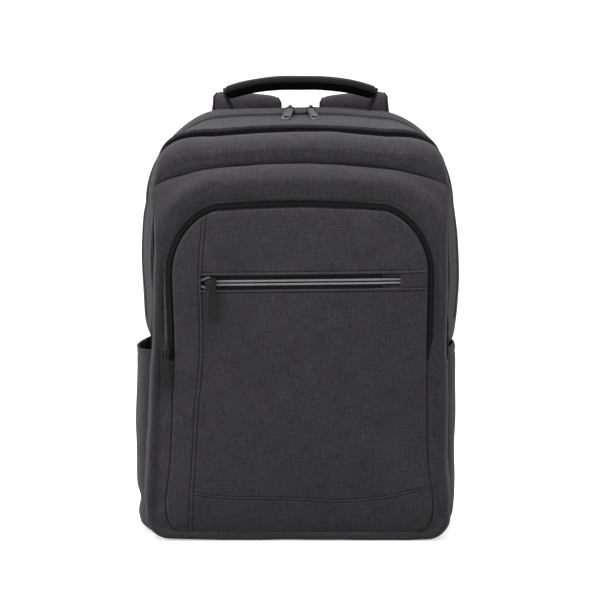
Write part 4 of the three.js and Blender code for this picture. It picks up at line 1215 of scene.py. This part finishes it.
make_main()
make_pocket()
make_panel()
make_main_zipper()
make_tier_groove_shade()
make_front_zipper()
make_fold_shades()
make_chest_zipper()
make_panel_stitches()
for which, label in SIDES:
    make_side_pocket(which, label)
make_handle()
for which, label in SIDES:
    make_strap(which, label)
    make_strap_foot(which, label)
make_back()
make_hardware()


# Light and floor


def area_light(name, place, height, power):
    """A soft round lamp that looks at a height on the bag's middle."""
    lamp = bpy.data.lights.new(name, "AREA")
    lamp.shape = "DISK"
    lamp.size = 1.4
    lamp.energy = power
    look_from(name, lamp, place, (0, 0, height))


area_light("light_above", (-0.4, -0.2, 2.3), 0.3, 32)
area_light("light_left", (-2.2, -0.75, 0.9), 0.25, 30)
area_light("light_right", (2.2, -0.75, 0.9), 0.25, 15)

# The studio by height: dark under the floor's edge, a white band behind the horizon, then a soft
# grey wall that brightens to a white ceiling.
SKY = [(0.0, 0.1), (0.485, 0.1), (0.492, 1.4), (0.518, 1.4)]
SKY += [(0.53, 0.22), (0.6, 0.26), (0.8, 0.8), (1.0, 1.4)]
SKY_WHITE = 1.4
world = bpy.data.worlds.new("studio")
world.use_nodes = True
bpy.context.scene.world = world
sky = world.node_tree
sky.nodes.clear()
direction = add(sky, "ShaderNodeTexCoord").outputs["Generated"]
towards = add(sky, "ShaderNodeSeparateXYZ", {0: direction}).outputs[2]
share = add(sky, "ShaderNodeMapRange", {0: towards, 1: -1.0, 2: 1.0, 3: 0.0, 4: 1.0})
bands = add(sky, "ShaderNodeValToRGB", {0: share})
stops = bands.color_ramp.elements
for place, level in SKY[1:-1]:
    stops.new(place)
for stop, (place, level) in zip(stops, SKY):
    stop.position = place
    stop.color = (*[level / SKY_WHITE] * 3, 1)
glow = add(sky, "ShaderNodeBackground", {"Color": bands, "Strength": SKY_WHITE})
add(sky, "ShaderNodeOutputWorld", {"Surface": glow})
bpy.context.scene.view_settings.view_transform = "Standard"

bm = bmesh.new()
bmesh.ops.create_grid(bm, x_segments=1, y_segments=1, size=60)
floor_mesh = bpy.data.meshes.new("floor")
bm.to_mesh(floor_mesh)
bm.free()
floor = bpy.data.objects.new("floor", floor_mesh)
bpy.context.scene.collection.objects.link(floor)
# A painted board that gives back a little light of its own, so that it stays white.
board, tree = new_material("matt_painted_board")
paint = {"Base Color": linear("#f4f4f4"), "Roughness": 0.9}
paint |= {"Emission Color": (1, 1, 1, 1), "Emission Strength": 0.5}
shader = add(tree, "ShaderNodeBsdfPrincipled", paint)
add(tree, "ShaderNodeOutputMaterial", {"Surface": shader})
floor.data.materials.append(board)
floor.visible_diffuse = False
